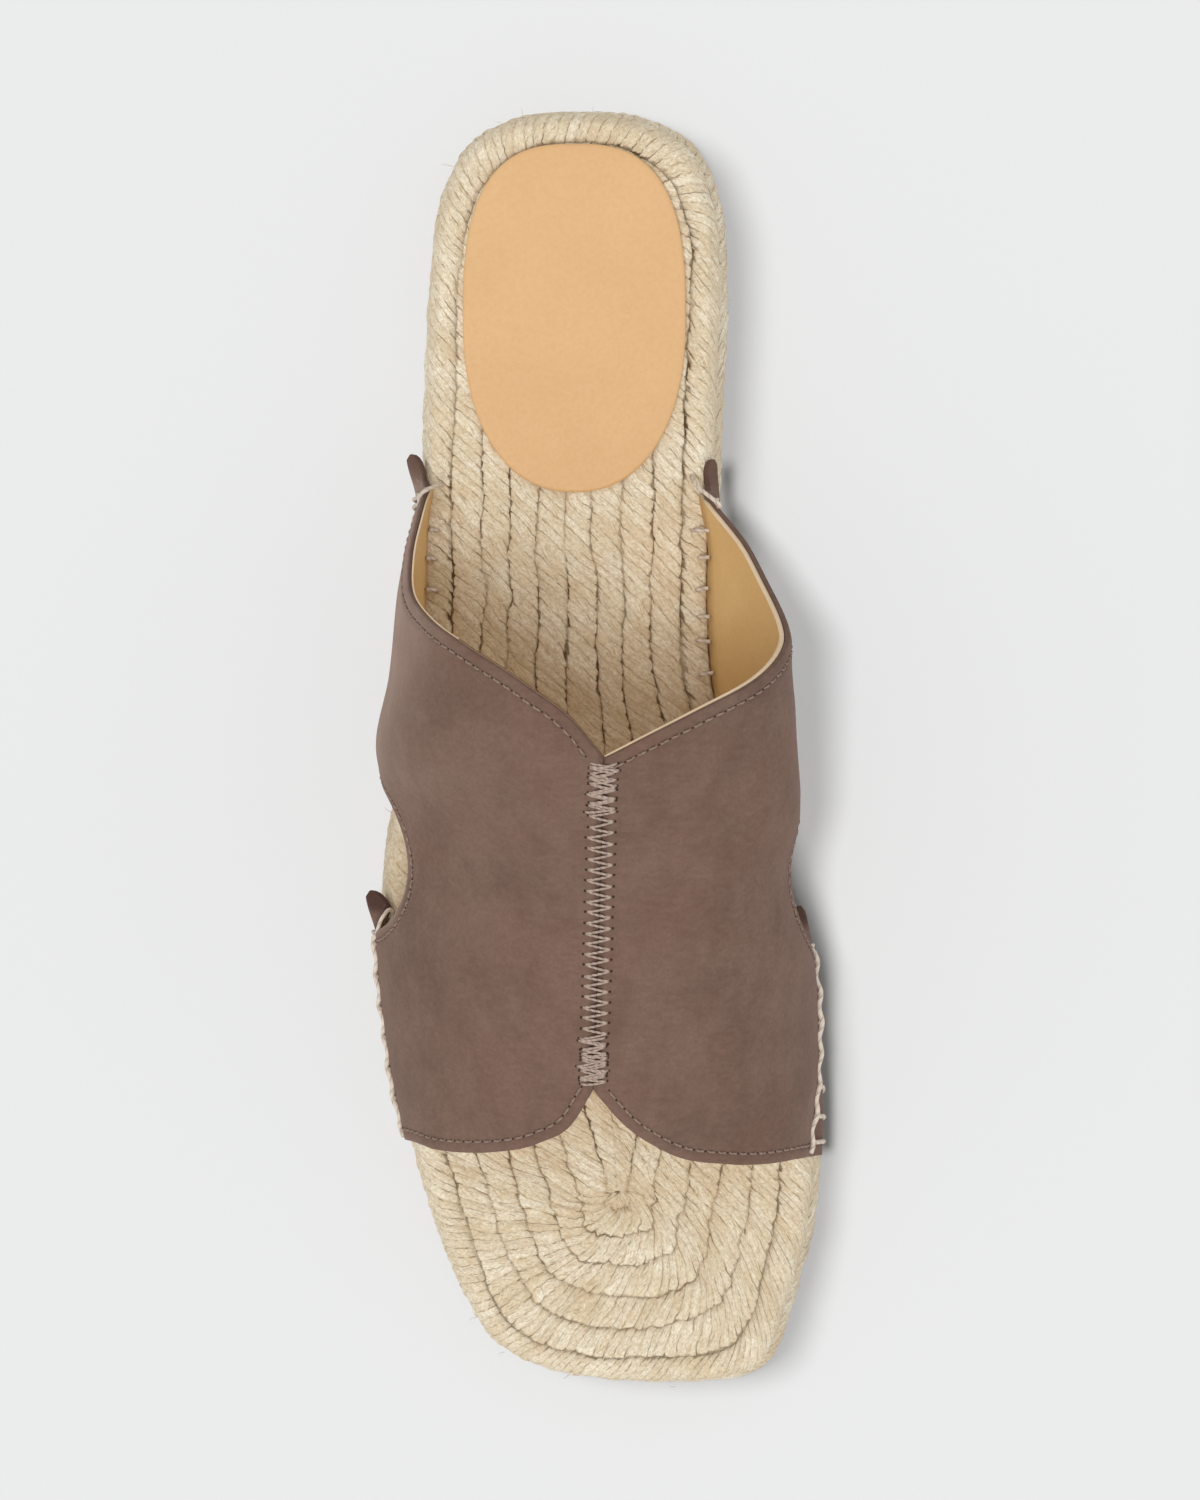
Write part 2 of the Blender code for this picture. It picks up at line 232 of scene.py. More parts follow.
# Floor, camera and light
FLOOR_REACH = 6000.0
FLOOR_LEVEL = -0.3
EYE = (57.0, 39.0, 1500.0)
AIM = (1.0, 0.0, 30.0)
FRAME_HEIGHT = 292.0
SENSOR = 36.0
SKY = 0.7
SUN = 1.3
SUN_ANGLE = 30.0
SUN_FROM = (-0.08, -0.29, 0.95)
FloorLight = namedtuple("FloorLight", "name strength angle towards casters")
FLOOR_LIGHTS = (
    FloorLight("floor_light_sole", 3.5, 22.0, (-0.33, 0.11, 0.94), ("jute_coil", "jute_outer_row")),
    FloorLight("floor_light_upper", 3.4, 9.0, (-0.13, 0.02, 0.99),
               ("suede_panel_lateral", "suede_panel_medial")),
)

# Widest outline of the sole: the x of its outer and inner edge at each station
SoleStation = namedtuple("SoleStation", "y lateral medial")
SOLE_STATIONS = [SoleStation(*row) for row in (
    (110.0, -30.8, 23.0),
    (92.0, -33.6, 25.1),
    (70.0, -34.7, 24.4),
    (48.0, -35.2, 23.6),
    (26.0, -35.5, 23.1),
    (8.0, -37.5, 24.9),
    (-8.0, -40.4, 30.2),
    (-24.0, -42.9, 35.8),
    (-32.0, -43.3, 39.0),
    (-40.0, -43.2, 41.8),
    (-58.0, -41.2, 43.3),
    (-76.0, -37.9, 43.8),
    (-94.0, -32.8, 42.4),
    (-110.0, -26.1, 38.2),
)]
# Round ends of the outline, each in order from the inner to the outer side
EndPoint = namedtuple("EndPoint", "x y")
TOE_POINTS = [EndPoint(*row) for row in (
    (36.2, -116.5),
    (33.4, -121.6),
    (28.0, -124.4),
    (20.0, -125.4),
    (8.0, -125.5),
    (-5.1, -124.3),
    (-14.5, -121.6),
    (-21.2, -117.3),
)]
HEEL_POINTS = [EndPoint(*row) for row in (
    (18.9, 118.4),
    (8.4, 124.2),
    (-5.4, 125.5),
    (-18.2, 123.7),
    (-26.1, 118.8),
)]

# Side of the sole from the ground up: share of the thickness, distance in from the outline
SideLevel = namedtuple("SideLevel", "share inset")
NECK = SideLevel(0.68, 1.1)
SHOULDER = SideLevel(0.985, 2.9)
SIDE_LEVELS = (SideLevel(0.0, 3.0), SideLevel(0.06, 0.9), SideLevel(0.25, 0.0), SideLevel(RIB_SHARE, 1.3),
               NECK, SideLevel(0.88, 1.5), SHOULDER)

# Sections of the upper's outer face: seam position, seam height over the footbed, side flares
UpperStation = namedtuple("UpperStation", "y seam_x seam_height lateral_flare medial_flare")
UPPER_STATIONS = [UpperStation(*row) for row in (
    (-90.0, -0.5, 29.0, -2.0, -3.0),
    (-65.0, 0.6, 37.0, -3.5, -3.0),
    (-40.0, 1.8, 45.0, -6.0, 2.0),
    (-22.0, 2.6, 51.0, -4.7, 9.8),
    (-11.0, 3.1, 55.0, 1.5, 19.8),
    (0.0, 3.6, 59.0, 12.5, 25.1),
    (15.0, 4.3, 63.0, 11.2, 28.2),
    (30.0, 5.0, 67.0, 10.2, 27.6),
    (45.0, 5.5, 70.0, 3.6, 20.5),
    (60.0, 6.0, 72.0, 2.0, 10.0),
)]

# Front and back edges of the upper, by the share of the way from the sole up to the seam
EdgeRow = namedtuple("EdgeRow", "share lateral_front medial_front lateral_back medial_back")
EDGE_ROWS = [EdgeRow(*row) for row in (
    (0.00, -77.0, -80.0, 51.0, 50.0),
    (0.10, -76.8, -79.8, 47.0, 41.5),
    (0.20, -77.0, -79.7, 40.0, 31.5),
    (0.30, -77.6, -79.8, 32.5, 25.0),
    (0.45, -77.8, -80.0, 26.0, 19.7),
    (0.60, -77.4, -79.6, 20.8, 14.6),
    (0.80, -75.2, -77.0, 12.8, 8.2),
    (0.93, -71.0, -70.8, 5.8, 2.8),
    (1.00, -64.8, -64.8, -0.6, -0.6),
)]

# Arched notch in each side of the upper, at the sole
Notch = namedtuple("Notch", "side y half_width top_share")
NOTCHES = (Notch(LATERAL, -20.5, 15.0, 0.27), Notch(MEDIAL, -22.0, 16.0, 0.27))

# Loose flaps at the back ends of the hem: reach of the tip past the wall, the share of it at the inner edge,
# shift of the lower and the upper edge, lift of the tip
Ear = namedtuple("Ear", "reach inner low_out high_out lift")
BACK_EARS = {LATERAL: Ear(6.6, 0.3, 1.9, -2.2, 3.8), MEDIAL: Ear(6.6, 0.35, -0.7, -3.6, 4.4)}
NOTCH_EARS = {LATERAL: Ear(7.4, 0.62, 2.1, -2.6, 3.9), MEDIAL: Ear(7.2, 0.6, 1.3, -1.0, 5.0)}

# Soft creases of the suede: two ends on the panel as station and share, half width, height
Crease = namedtuple("Crease", "side y0 share0 y1 share1 half_width height")
CREASES = [Crease(*row) for row in (
    (LATERAL, -4.0, 0.22, 8.0, 0.62, 5.0, -0.45),
    (LATERAL, -24.0, 0.34, -30.0, 0.75, 7.0, 0.35),
    (LATERAL, 16.0, 0.25, 10.0, 0.55, 4.5, 0.35),
    (LATERAL, -58.0, 0.15, -50.0, 0.55, 7.0, -0.3),
    (MEDIAL, -8.0, 0.3, 2.0, 0.6, 5.0, -0.5),
    (MEDIAL, -22.0, 0.34, -34.0, 0.7, 7.0, 0.35),
    (MEDIAL, -55.0, 0.2, -48.0, 0.6, 8.0, -0.3),
    (MEDIAL, 8.0, 0.2, 10.0, 0.5, 5.0, 0.3),
)]

# Low ridges and troughs that run along the panel's edges and seam: height, distance in, width
Ripple = namedtuple("Ripple", "height inset width")
EDGE_RIPPLES = (Ripple(0.16, 1.25, 0.7), Ripple(-0.24, TOPSTITCH_INSET, 0.5), Ripple(0.1, 3.6, 0.9))
SEAM_RIPPLES = (Ripple(-BUTT_DIP, 0.0, 0.8), Ripple(0.14, 1.5, 0.8), Ripple(-0.16, ZIGZAG_HALF, 0.45))
EDGE_ROLL = Ripple(-0.4, 0.0, 0.8)

# Extra runs of a bar tack: trim of its ends, share of the zigzag's step, side of its first stitch
TackRun = namedtuple("TackRun", "start_trim end_trim step first")
TACK_RUNS = (TackRun(0.0, 0.0, 0.83, LATERAL), TackRun(-0.4, 0.5, 1.27, MEDIAL))
# How uneven the stitches are along and across the seam, and how far they are lifted
Wobble = namedtuple("Wobble", "along across lift")
SEAM_WOBBLE = Wobble(0.08, 0.09, 0.0)
TACK_WOBBLE = Wobble(0.18, 0.27, 0.22)

# Height of a stitch over the suede at shares of its length
Profile = namedtuple("Profile", "shares lifts")
TOPSTITCH = Profile((0.0, 0.12, 0.3, 0.5, 0.7, 0.88, 1.0), (-0.3, 0.1, 0.2, 0.24, 0.2, 0.1, -0.3))
ZIGZAG = Profile((0.0, 0.08, 0.25, 0.5, 0.75, 0.92, 1.0), (-0.35, 0.08, 0.34, 0.42, 0.34, 0.08, -0.35))


def soft_step(low, high, value):
    """Goes smoothly from 0 at low to 1 at high."""
    share = np.clip((np.asarray(value, float) - low) / (high - low), 0.0, 1.0)
    return share * share * (3.0 - 2.0 * share)


def blend(first, second, share):
    return first + (second - first) * share


def table_curve(keys, values, at):
    """Smooth curve through the values of a short table whose keys rise."""
    keys = np.asarray(keys, float)
    values = np.asarray(values, float)
    at = np.clip(np.asarray(at, float), keys[0], keys[-1])
    slope = np.gradient(values, keys)
    left = np.clip(np.searchsorted(keys, at) - 1, 0, len(keys) - 2)
    span = keys[left + 1] - keys[left]
    u = (at - keys[left]) / span
    ends = (2 * u**3 - 3 * u**2 + 1) * values[left] + (3 * u**2 - 2 * u**3) * values[left + 1]
    pulls = (u**3 - 2 * u**2 + u) * slope[left] + (u**3 - u**2) * slope[left + 1]
    return ends + span * pulls


def look_up(rows, name, at):
    """Smooth curve through one column of a table, by the values of its first column."""
    return table_curve([row[0] for row in rows], [getattr(row, name) for row in rows], at)


def unit(vectors):
    return vectors / np.maximum(np.linalg.norm(vectors, axis=-1, keepdims=True), 1e-9)


def running(steps):
    """Running total of steps, from 0."""
    return np.concatenate([[0.0], np.cumsum(steps)])


def run_length(line):
    """Distance along a line of points, at each of them."""
    return running(np.linalg.norm(np.diff(line, axis=0), axis=1))


def walk(line, at):
    """Points of a line at distances along it."""
    run = run_length(line)
    return np.stack([np.interp(at, run, values) for values in line.T], axis=1)


def curve_through(line, at):
    """Points of a smooth curve through a line of points, at distances along the line."""
    run = run_length(line)
    return np.stack([table_curve(run, values, at) for values in line.T], axis=1)


def closed_curve(points, count):
    """Evenly spaced points on a smooth closed curve through a ring of points."""
    wrap = 3
    ring = np.array([*points[-wrap:], *points, *points[: wrap + 1]], float)
    run = run_length(ring)
    return curve_through(ring, np.linspace(run[wrap], run[wrap + len(points)], count, endpoint=False))


def resample(line, spacing):
    """Points at even spacing along an open line."""
    length = run_length(line)[-1]
    return walk(line, np.linspace(0.0, length, max(2, int(round(length / spacing)) + 1)))


def crowded(count):
    """Steps from 0 to 1 that lie closer together at both ends."""
    return 0.5 - 0.5 * np.cos(np.pi * np.linspace(0.0, 1.0, count))


def raised(plan, height):
    """Points from plan points and their heights."""
    return np.concatenate([plan, height[..., None]], axis=-1)


# Shape of the sole


def sole_outline():
    medial = [(row.medial, row.y) for row in SOLE_STATIONS]
    lateral = [(row.lateral, row.y) for row in reversed(SOLE_STATIONS)]
    return closed_curve([*medial, *TOE_POINTS, *lateral, *reversed(HEEL_POINTS)], OUTLINE_POINTS)


OUTLINE = sole_outline()


def side_of_outline(side):
    """The outline's points on one side, ordered by y."""
    rows = SOLE_STATIONS[::-1]
    middle = [(row.lateral + row.medial) / 2 for row in rows]
    middle = np.interp(OUTLINE[:, 1], [row.y for row in rows], middle)
    edge = OUTLINE[(OUTLINE[:, 0] - middle) * side > 0]
    return edge[np.argsort(edge[:, 1])]


SIDE_EDGES = {side: side_of_outline(side) for side in (LATERAL, MEDIAL)}


def sole_edge(y, side):
    """The x of the sole's outline at y, on one side."""
    return np.interp(y, SIDE_EDGES[side][:, 1], SIDE_EDGES[side][:, 0])


def spine_x(y):
    return (sole_edge(y, LATERAL) + sole_edge(y, MEDIAL)) / 2


def toe_lift(y):
    run = np.clip((TOE_SPRING_START - np.asarray(y, float)) / (TOE_SPRING_START - TOE_END), 0.0, None)
    return TOE_SPRING * run**2


def sole_bottom(y):
    arch = soft_step(*ARCH_FRONT_STRETCH, y) * (1.0 - soft_step(*ARCH_BACK_STRETCH, y))
    return ARCH_LIFT * arch + toe_lift(y)


def sole_top(y):
    return blend(FOREFOOT_THICKNESS, HEEL_THICKNESS, soft_step(*HEEL_RISE_STRETCH, y)) + toe_lift(y)


def end_fan(arc, count, first_side):
    """Evenly spaced points on a round end of the outline, without its two ends."""
    tip = 1.0 if arc[:, 1].mean() > 0 else -1.0
    centre_y = COIL_HEEL_Y if tip > 0 else COIL_TOE_Y
    angle = np.arctan2((arc[:, 0] - spine_x(centre_y)) * first_side, (arc[:, 1] - centre_y) * tip)
    arc = arc[np.argsort(-angle)]
    return walk(arc, np.linspace(0.0, run_length(arc)[-1], count + 2)[1:-1])


TABLE_SIZE = 1024
strand_table = np.random.default_rng(11).random((ROW_COUNT + 4, TABLE_SIZE))
groove_table = np.random.default_rng(12).random((ROW_COUNT + 4, TABLE_SIZE))


def line_noise(table, row, at, period=TABLE_SIZE):
    """Smooth noise from 0 to 1 along a row, the same again after a whole number of steps."""
    cell = np.floor(at).astype(int)
    first = table[row, cell % period]
    second = table[row, (cell + 1) % period]
    return blend(first, second, soft_step(0.0, 1.0, at - cell))


Coil = namedtuple("Coil", "rim spine reach full_depth")


def sole_coil():
    """Rays from the outline to the spine, clockwise from the inner side of the heel as seen from above."""
    levels = np.linspace(COIL_HEEL_Y, COIL_TOE_Y, SIDE_RAYS)
    medial, lateral = (np.column_stack([sole_edge(levels, side), levels]) for side in (MEDIAL, LATERAL))
    toe = end_fan(OUTLINE[OUTLINE[:, 1] < COIL_TOE_Y], TOE_RAYS, MEDIAL)
    heel = end_fan(OUTLINE[OUTLINE[:, 1] > COIL_HEEL_Y], HEEL_RAYS, LATERAL)
    rim = np.concatenate([medial, toe, lateral[::-1], heel])
    spine_y = np.clip(rim[:, 1], COIL_TOE_Y, COIL_HEEL_Y)
    drift = line_noise(groove_table, ROW_COUNT + 2, (spine_y - COIL_TOE_Y) / WANDER_LENGTH) - 0.5
    spine = np.column_stack([spine_x(spine_y) + SPINE_DRIFT * drift, spine_y])
    full_depth = np.array([np.min(np.hypot(*(OUTLINE - point).T)) for point in spine])
    return Coil(rim, spine, np.hypot(*(rim - spine).T), full_depth)


def plan_at(coil, depths):
    """Plan points of every ray at its depths: round near the spine, true to the outline near the rim."""
    inward = 1.0 - np.minimum(depths, coil.full_depth) / coil.full_depth
    radius = inward * coil.full_depth + (coil.reach - coil.full_depth) * inward**ROUNDING
    return coil.spine + (coil.rim - coil.spine) * (radius / coil.reach)[..., None]


def ring_wander(coil, row, length, amount):
    """Smooth sideways wander of a rope row round the sole, from minus to plus amount."""
    run = run_length(coil.rim)
    cells = int(round(run[-1] / length))
    return amount * (2.0 * line_noise(groove_table, row, run / run[-1] * cells, cells) - 1.0)


def row_bounds(coil):
    """Depth of each groove at each ray: four full rows each side in waist and heel, free rows in the toe."""
    waist = soft_step(*WAIST_ROWS_STRETCH, coil.spine[:, 1])
    outer = OUTER_ROW - TOE_ROW_NARROWING * (1.0 - soft_step(*TOE_NARROWING_STRETCH, coil.rim[:, 1]))
    width = blend(ROW, (coil.full_depth - outer) / WAIST_ROWS, waist)
    bounds = [np.zeros(len(outer))]
    for row in range(1, ROW_COUNT + 1):
        sway = ring_wander(coil, row, WANDER_LENGTH, WANDER) + ring_wander(coil, row, JAG_LENGTH, JAG)
        bound = outer + width * (row - 1) + sway * (1.0 if row > 1 else OUTER_SWAY)
        past_middle = (row > WAIST_ROWS) & (waist > 0.5)
        bounds.append(np.where(past_middle, coil.full_depth, bound))
    return np.array(bounds)


# Making pieces


def new_piece(name, points, quads, lay, materials, slot=None, kinds=None):
    """A smooth quad mesh from points in millimetres, riding on the shoe's one body."""
    mesh = bpy.data.meshes.new(name)
    quads = np.asarray(quads, dtype=np.int32)
    mesh.vertices.add(len(points))
    mesh.vertices.foreach_set("co", (points * MM).astype(np.float32).ravel())
    mesh.loops.add(quads.size)
    mesh.loops.foreach_set("vertex_index", quads.ravel())
    mesh.polygons.add(len(quads))
    mesh.polygons.foreach_set("loop_start", np.arange(0, quads.size, 4, dtype=np.int32))
    mesh.polygons.foreach_set("use_smooth", np.ones(len(quads), dtype=bool))
    for material in materials:
        mesh.materials.append(material)
    if kinds is not None:
        mesh.polygons.foreach_set("material_index", np.asarray(kinds, dtype=np.int32))
    if lay is not None:
        attribute = mesh.attributes.new("lay", "FLOAT_VECTOR", "CORNER")
        attribute.data.foreach_set("vector", lay.astype(np.float32).ravel())
    mesh.update(calc_edges=True)
    piece = bpy.data.objects.new(name, mesh)
    bpy.context.scene.collection.objects.link(piece)
    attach(piece, "root")
    return piece


def vertex_normals(points, quads):
    """Unit normals of the points of a quad mesh."""
    normal = np.cross(points[quads[:, 2]] - points[quads[:, 0]], points[quads[:, 3]] - points[quads[:, 1]])
    total = np.zeros_like(points)
    for corner in range(4):
        np.add.at(total, quads[:, corner], normal)
    return unit(total)


def together(points):
    """Takes points that lie together as one: the first of each, and the new number of every point."""
    _, first, place = np.unique(np.round(points, 3), axis=0, return_index=True, return_inverse=True)
    return first, place.ravel()


def whole(quads):
    """Which quads have four different corners."""
    return np.all(np.diff(np.sort(quads, axis=1), axis=1) > 0, axis=1)


def tubes(paths, radii, sides=6, plies=2.0, twist=3.0):
    """Points, quads and lay of closed tubes along paths, given as an array of tubes by points by 3."""
    paths = np.asarray(paths, float)
    count, steps, _ = paths.shape
    tangent = unit(np.gradient(paths, axis=1))
    lift = np.where(np.abs(tangent[:, :1, 2:]) < 0.8, (0.0, 0.0, 1.0), (1.0, 0.0, 0.0))
    right = unit(np.cross(tangent, lift))
    up = np.cross(right, tangent)
    angle = 2 * np.pi * np.arange(sides) / sides
    ring = right[:, :, None] * np.cos(angle)[:, None] + up[:, :, None] * np.sin(angle)[:, None]
    points = paths[:, :, None] + ring * np.broadcast_to(radii, (count, steps))[:, :, None, None]
    start = (np.arange(count) * steps * sides)[:, None, None]
    here = start + (np.arange(steps - 1) * sides)[None, :, None]
    turn = np.arange(sides)
    after = (turn + 1) % sides
    walls = np.stack([here + turn, here + after, here + sides + after, here + sides + turn], axis=-1)
    length = np.stack([run_length(path) for path in paths])
    wrap = length[:, :, None] / twist + plies * np.arange(sides + 1) / sides
    number = np.broadcast_to(np.arange(count)[:, None, None] * 1.0, wrap.shape)
    grid = np.stack([wrap, np.zeros_like(wrap), number], axis=-1)
    lay = np.stack([grid[:, :-1, :-1], grid[:, :-1, 1:], grid[:, 1:, 1:], grid[:, 1:, :-1]], axis=3)
    caps = []
    for corner in range(1, sides - 2, 2):
        fan = np.array([0, corner, corner + 1, corner + 2])
        caps += [start[:, 0] + fan[::-1], start[:, 0] + (steps - 1) * sides + fan]
    caps = np.concatenate(caps)
    lay = np.concatenate([lay.reshape(-1, 4, 3), np.zeros((len(caps), 4, 3))])
    return points.reshape(-1, 3), np.concatenate([walls.reshape(-1, 4), caps]), lay


def joined(groups):
    """One mesh from several groups of points, quads and lay."""
    points, quads, lays = zip(*groups)
    starts = np.cumsum([0] + [len(group) for group in points[:-1]])
    quads = [group + start for group, start in zip(quads, starts)]
    return np.concatenate(points), np.concatenate(quads), np.concatenate(lays)


# Materials


def linear(colour):
    """Linear colour with alpha of a colour given as three screen values from 0 to 255."""
    share = np.array(colour) / 255.0
    values = np.where(share <= 0.04045, share / 12.92, ((share + 0.055) / 1.055) ** 2.4)
    return (*(float(value) for value in values), 1.0)


class Field:
    """A value over a surface: one output of a material's node tree, ready for sums."""

    def __init__(self, graph, socket):
        self.graph = graph
        self.socket = socket

    def math(self, operation, *others):
        kind = "ShaderNodeMath" if self.socket.type == "VALUE" else "ShaderNodeVectorMath"
        return self.graph.add(kind, dict(enumerate((self, *others))), operation=operation)

    def __add__(self, other):
        return self.math("ADD", other)

    def __sub__(self, other):
        return self.math("SUBTRACT", other)

    def __mul__(self, other):
        return self.math("MULTIPLY", other)

    def __abs__(self):
        return self.math("ABSOLUTE")

    def ramp(self, low, high, to_low=0.0, to_high=1.0):
        values = {"Value": self, "From Min": low, "From Max": high, "To Min": to_low, "To Max": to_high}
        return self.graph.add("ShaderNodeMapRange", values, interpolation_type="SMOOTHSTEP")

    def noise(self, scale=1.0, detail=2.0, rough=0.5, output=0):
        values = {"Vector": self, "Scale": scale, "Detail": detail, "Roughness": rough}
        return self.graph.add("ShaderNodeTexNoise", values, output)

    def split(self):
        node = self.graph.tree.nodes.new("ShaderNodeSeparateXYZ")
        self.graph.tree.links.new(self.socket, node.inputs[0])
        return [Field(self.graph, output) for output in node.outputs]


class Graph:
    """A material's node tree, with short calls for the nodes used here."""

    def __init__(self, name, **looks):
        self.material = bpy.data.materials.new(name)
        self.material.use_nodes = True
        self.tree = self.material.node_tree
        self.shader = self.tree.nodes["Principled BSDF"]
        for look, value in looks.items():
            self.shader.inputs[look.replace("_", " ")].default_value = value

    def add(self, kind, values, output=0, **settings):
        """Adds a node and gives one of its outputs."""
        node = self.tree.nodes.new(kind)
        for name, value in settings.items():
            setattr(node, name, value)
        for name, value in values.items():
            if isinstance(value, Field):
                self.tree.links.new(value.socket, node.inputs[name])
            else:
                node.inputs[name].default_value = value
        return Field(self, node.outputs[output])

    def place(self):
        return self.add("ShaderNodeTexCoord", {}, "Object")

    def lay(self):
        return self.add("ShaderNodeAttribute", {}, "Vector", attribute_name="lay")

    def vector(self, x, y=0.0):
        return self.add("ShaderNodeCombineXYZ", {0: x, 1: y})

    def mix(self, share, first, second):
        """Mixes two shades, each a field or a screen colour."""
        first, second = (linear(shade) if isinstance(shade, tuple) else shade for shade in (first, second))
        return self.add("ShaderNodeMix", {0: share, 6: first, 7: second}, 2, data_type="RGBA")

    def link(self, name, field):
        self.tree.links.new(field.socket, self.shader.inputs[name])

    def paint(self, shade, *coats):
        """Lays coats of colour over a shade, each a share and a screen colour, and shows the result."""
        for share, colour in coats:
            shade = self.mix(share, shade, colour)
        self.link("Base Color", shade)

    def bump(self, height, distance, strength):
        values = {"Height": height, "Distance": distance * MM, "Strength": strength}
        self.link("Normal", self.add("ShaderNodeBump", values))


def jute_material():
    """Felted jute: soft strands with thin partings, and jagged broken grooves between the rows."""
    graph = Graph("jute", Roughness=0.9, Specular_IOR_Level=0.1, Sheen_Weight=0.1, Sheen_Roughness=0.5)
    place = graph.place()
    place_x, place_y, _ = place.split()
    middle = (0.5, 0.5, 0.5)
    tangle = place.noise(250.0, 3.0, 0.68, "Color") - middle
    sway = place.noise(75.0, 1.0, 0.5, "Color") - middle
    lay = graph.lay() + tangle * (0.75, 0.62, 0.9) + sway * (1.5, 0.0, 0.0)
    strand, across, way = lay.split()
    turn = strand.math("FRACT")
    ridge = abs(turn - 0.5)
    edge = abs(across)

    # Where the coil is worn flat: at its start and in the middle of the tread. The distance from the middle
    # also sets a painted shade under the upper's throat.
    centre = (float(spine_x(COIL_TOE_Y)) * MM, COIL_TOE_Y * MM, FOREFOOT_THICKNESS * MM)
    from_centre = graph.add("ShaderNodeVectorMath", {0: place, 1: centre}, "Value", operation="DISTANCE")
    near_start = from_centre.ramp(2.0 * MM, 7.0 * MM, 0.25, 1.0)
    from_tread = abs(place_y + 10.0 * MM)
    open_coil = near_start * from_tread.ramp(15.0 * MM, 55.0 * MM, 0.5, 1.0)

    # Partings between strands, and shorter ones between the hairs of a strand: painted shade in the gaps,
    # darker towards the grooves
    broken = (lay * (0.8, 0.0, 0.5)).noise()
    parting = ridge.ramp(0.43, 0.485) * broken.ramp(0.43, 0.58)
    parting = parting * (open_coil * edge.ramp(0.1, 0.9, 0.5, 1.0))
    third = abs((strand * 3.0).math("FRACT") - 0.5)
    hair = third.ramp(0.4, 0.49) * (lay * (2.4, 0.0, 0.9)).noise().ramp(0.5, 0.64)

    # Painted shade in the grooves between rows, broken along them, fainter at the toe and the outer heel
    jagged = edge + ((turn - 0.5) * 0.12 + ridge * ridge * 0.16)
    depth = (lay * (0.12, 0.0, 0.1)).noise()
    gap = (lay * (1.3, 0.0, 0.1)).noise()
    darkness = depth.ramp(0.38, 0.6, 0.38, 1.0) * gap.ramp(0.34, 0.54, 0.5, 1.0)
    toe_fade = place_y.ramp(-105.0 * MM, -60.0 * MM, 0.66, 1.0) * near_start
    outer_heel = place_y.ramp(50.0 * MM, 70.0 * MM) * place_x.ramp(-14.0 * MM, 10.0 * MM, 1.0, 0.0)
    fade = toe_fade * outer_heel.ramp(0.0, 1.0, 1.0, 0.5)
    groove = jagged.ramp(0.9, 1.0) * (darkness * fade)

    # Fibres along and across the strands, felt, and a tone for each strand
    combed = (lay * (6.0, 0.0, 0.35)).noise(1.0, 5.0, 0.75)
    slanted = lay * (7.0, 0.0, 0.5)
    crossed, lifted = ((slanted + graph.vector(way * lean)).noise() for lean in (1.7, -2.3))
    felt = place.noise(1500.0, 3.0, 0.7)
    cloud = place.noise(105.0)
    row = (way.math("DIVIDE", ROW_CODE) + 0.5).math("FLOOR")
    cell = graph.vector(strand.math("FLOOR"), row)
    tone = graph.add("ShaderNodeTexWhiteNoise", {"Vector": cell}, noise_dimensions="3D")
    graph.paint(
        graph.mix(combed.ramp(0.36, 0.62), (232, 212, 180), (255, 251, 232)),
        (cloud.ramp(0.38, 0.66, 0.0, 0.5), (220, 199, 165)),
        (tone.ramp(0.0, 1.0, 0.0, 0.42), (215, 193, 157)),
        (felt.ramp(0.42, 0.62, 0.0, 0.42), (194, 169, 131)),
        # painted shade: darker towards the valleys between strands
        (ridge.ramp(0.26, 0.5, 0.0, 0.2), (174, 147, 109)),
        (crossed.ramp(0.57, 0.66, 0.0, 0.52), (164, 137, 99)),
        (lifted.ramp(0.57, 0.68, 0.0, 0.42), (255, 250, 233)),
        # painted shade: darker beside the grooves, where the rows round down
        (edge.ramp(0.6, 1.0, 0.0, 0.1), (170, 142, 104)),
        # painted shade: darker across the middle of the sole, under the upper's throat
        (from_tread.ramp(12.0 * MM, 38.0 * MM, 0.2, 0.0), (162, 138, 108)),
        # painted shade in the gaps between hairs and between strands
        (hair * 0.42, (150, 122, 86)),
        (parting * 0.74, (122, 95, 62)),
        # painted shade in the grooves
        (groove, (98, 74, 46)),
    )
    graph.bump(combed * 0.6 + lifted * 0.35 - parting * 0.35, 0.35, 0.8)
    return graph.material


def suede_material(name, dark, light, nap):
    """Brushed suede. Its lay says how far a place is on a dark flap, on a worn edge and under a painted
    sheen.
    """
    graph = Graph(name, Roughness=0.95, Specular_IOR_Level=0.08, Sheen_Weight=0.22, Sheen_Roughness=0.45,
                  Sheen_Tint=linear((205, 184, 170)))
    place = graph.place()
    drift = place.noise(62.0, 3.0, 0.55)
    patch = (place * (1.0, 0.55, 1.0)).noise(190.0, 3.0, 0.6)
    warmth = (place + (0.37, 0.11, 0.23)).noise(48.0)
    fine = place.noise(1500.0, 3.0, 0.75)
    brushed = (place * (0.3, 1.0, 1.0)).noise(900.0, 3.0, 0.6)
    flap, wear, painted_sheen = graph.lay().split()
    graph.paint(
        graph.mix((drift * 0.6 + patch * 0.4).ramp(0.36, 0.64), dark, light),
        (warmth.ramp(0.4, 0.65, 0.0, 0.3), (123, 92, 79)),
        (fine.ramp(0.3, 0.7, 0.0, nap), (84, 63, 54)),
        (brushed.ramp(0.35, 0.7, 0.0, 0.12), (150, 127, 113)),
        # painted sheen: lighter on the steep outer wall, as if lit from the outer side
        (painted_sheen * patch.ramp(0.3, 0.7, 0.42, 0.54), (176, 153, 140)),
        (wear * patch.ramp(0.35, 0.65, 0.2, 0.55), (163, 143, 130)),
        (flap.ramp(0.0, 1.0, 0.0, 0.85), (72, 50, 44)),
    )
    graph.bump(fine + brushed, 0.2, 0.55)
    return graph.material


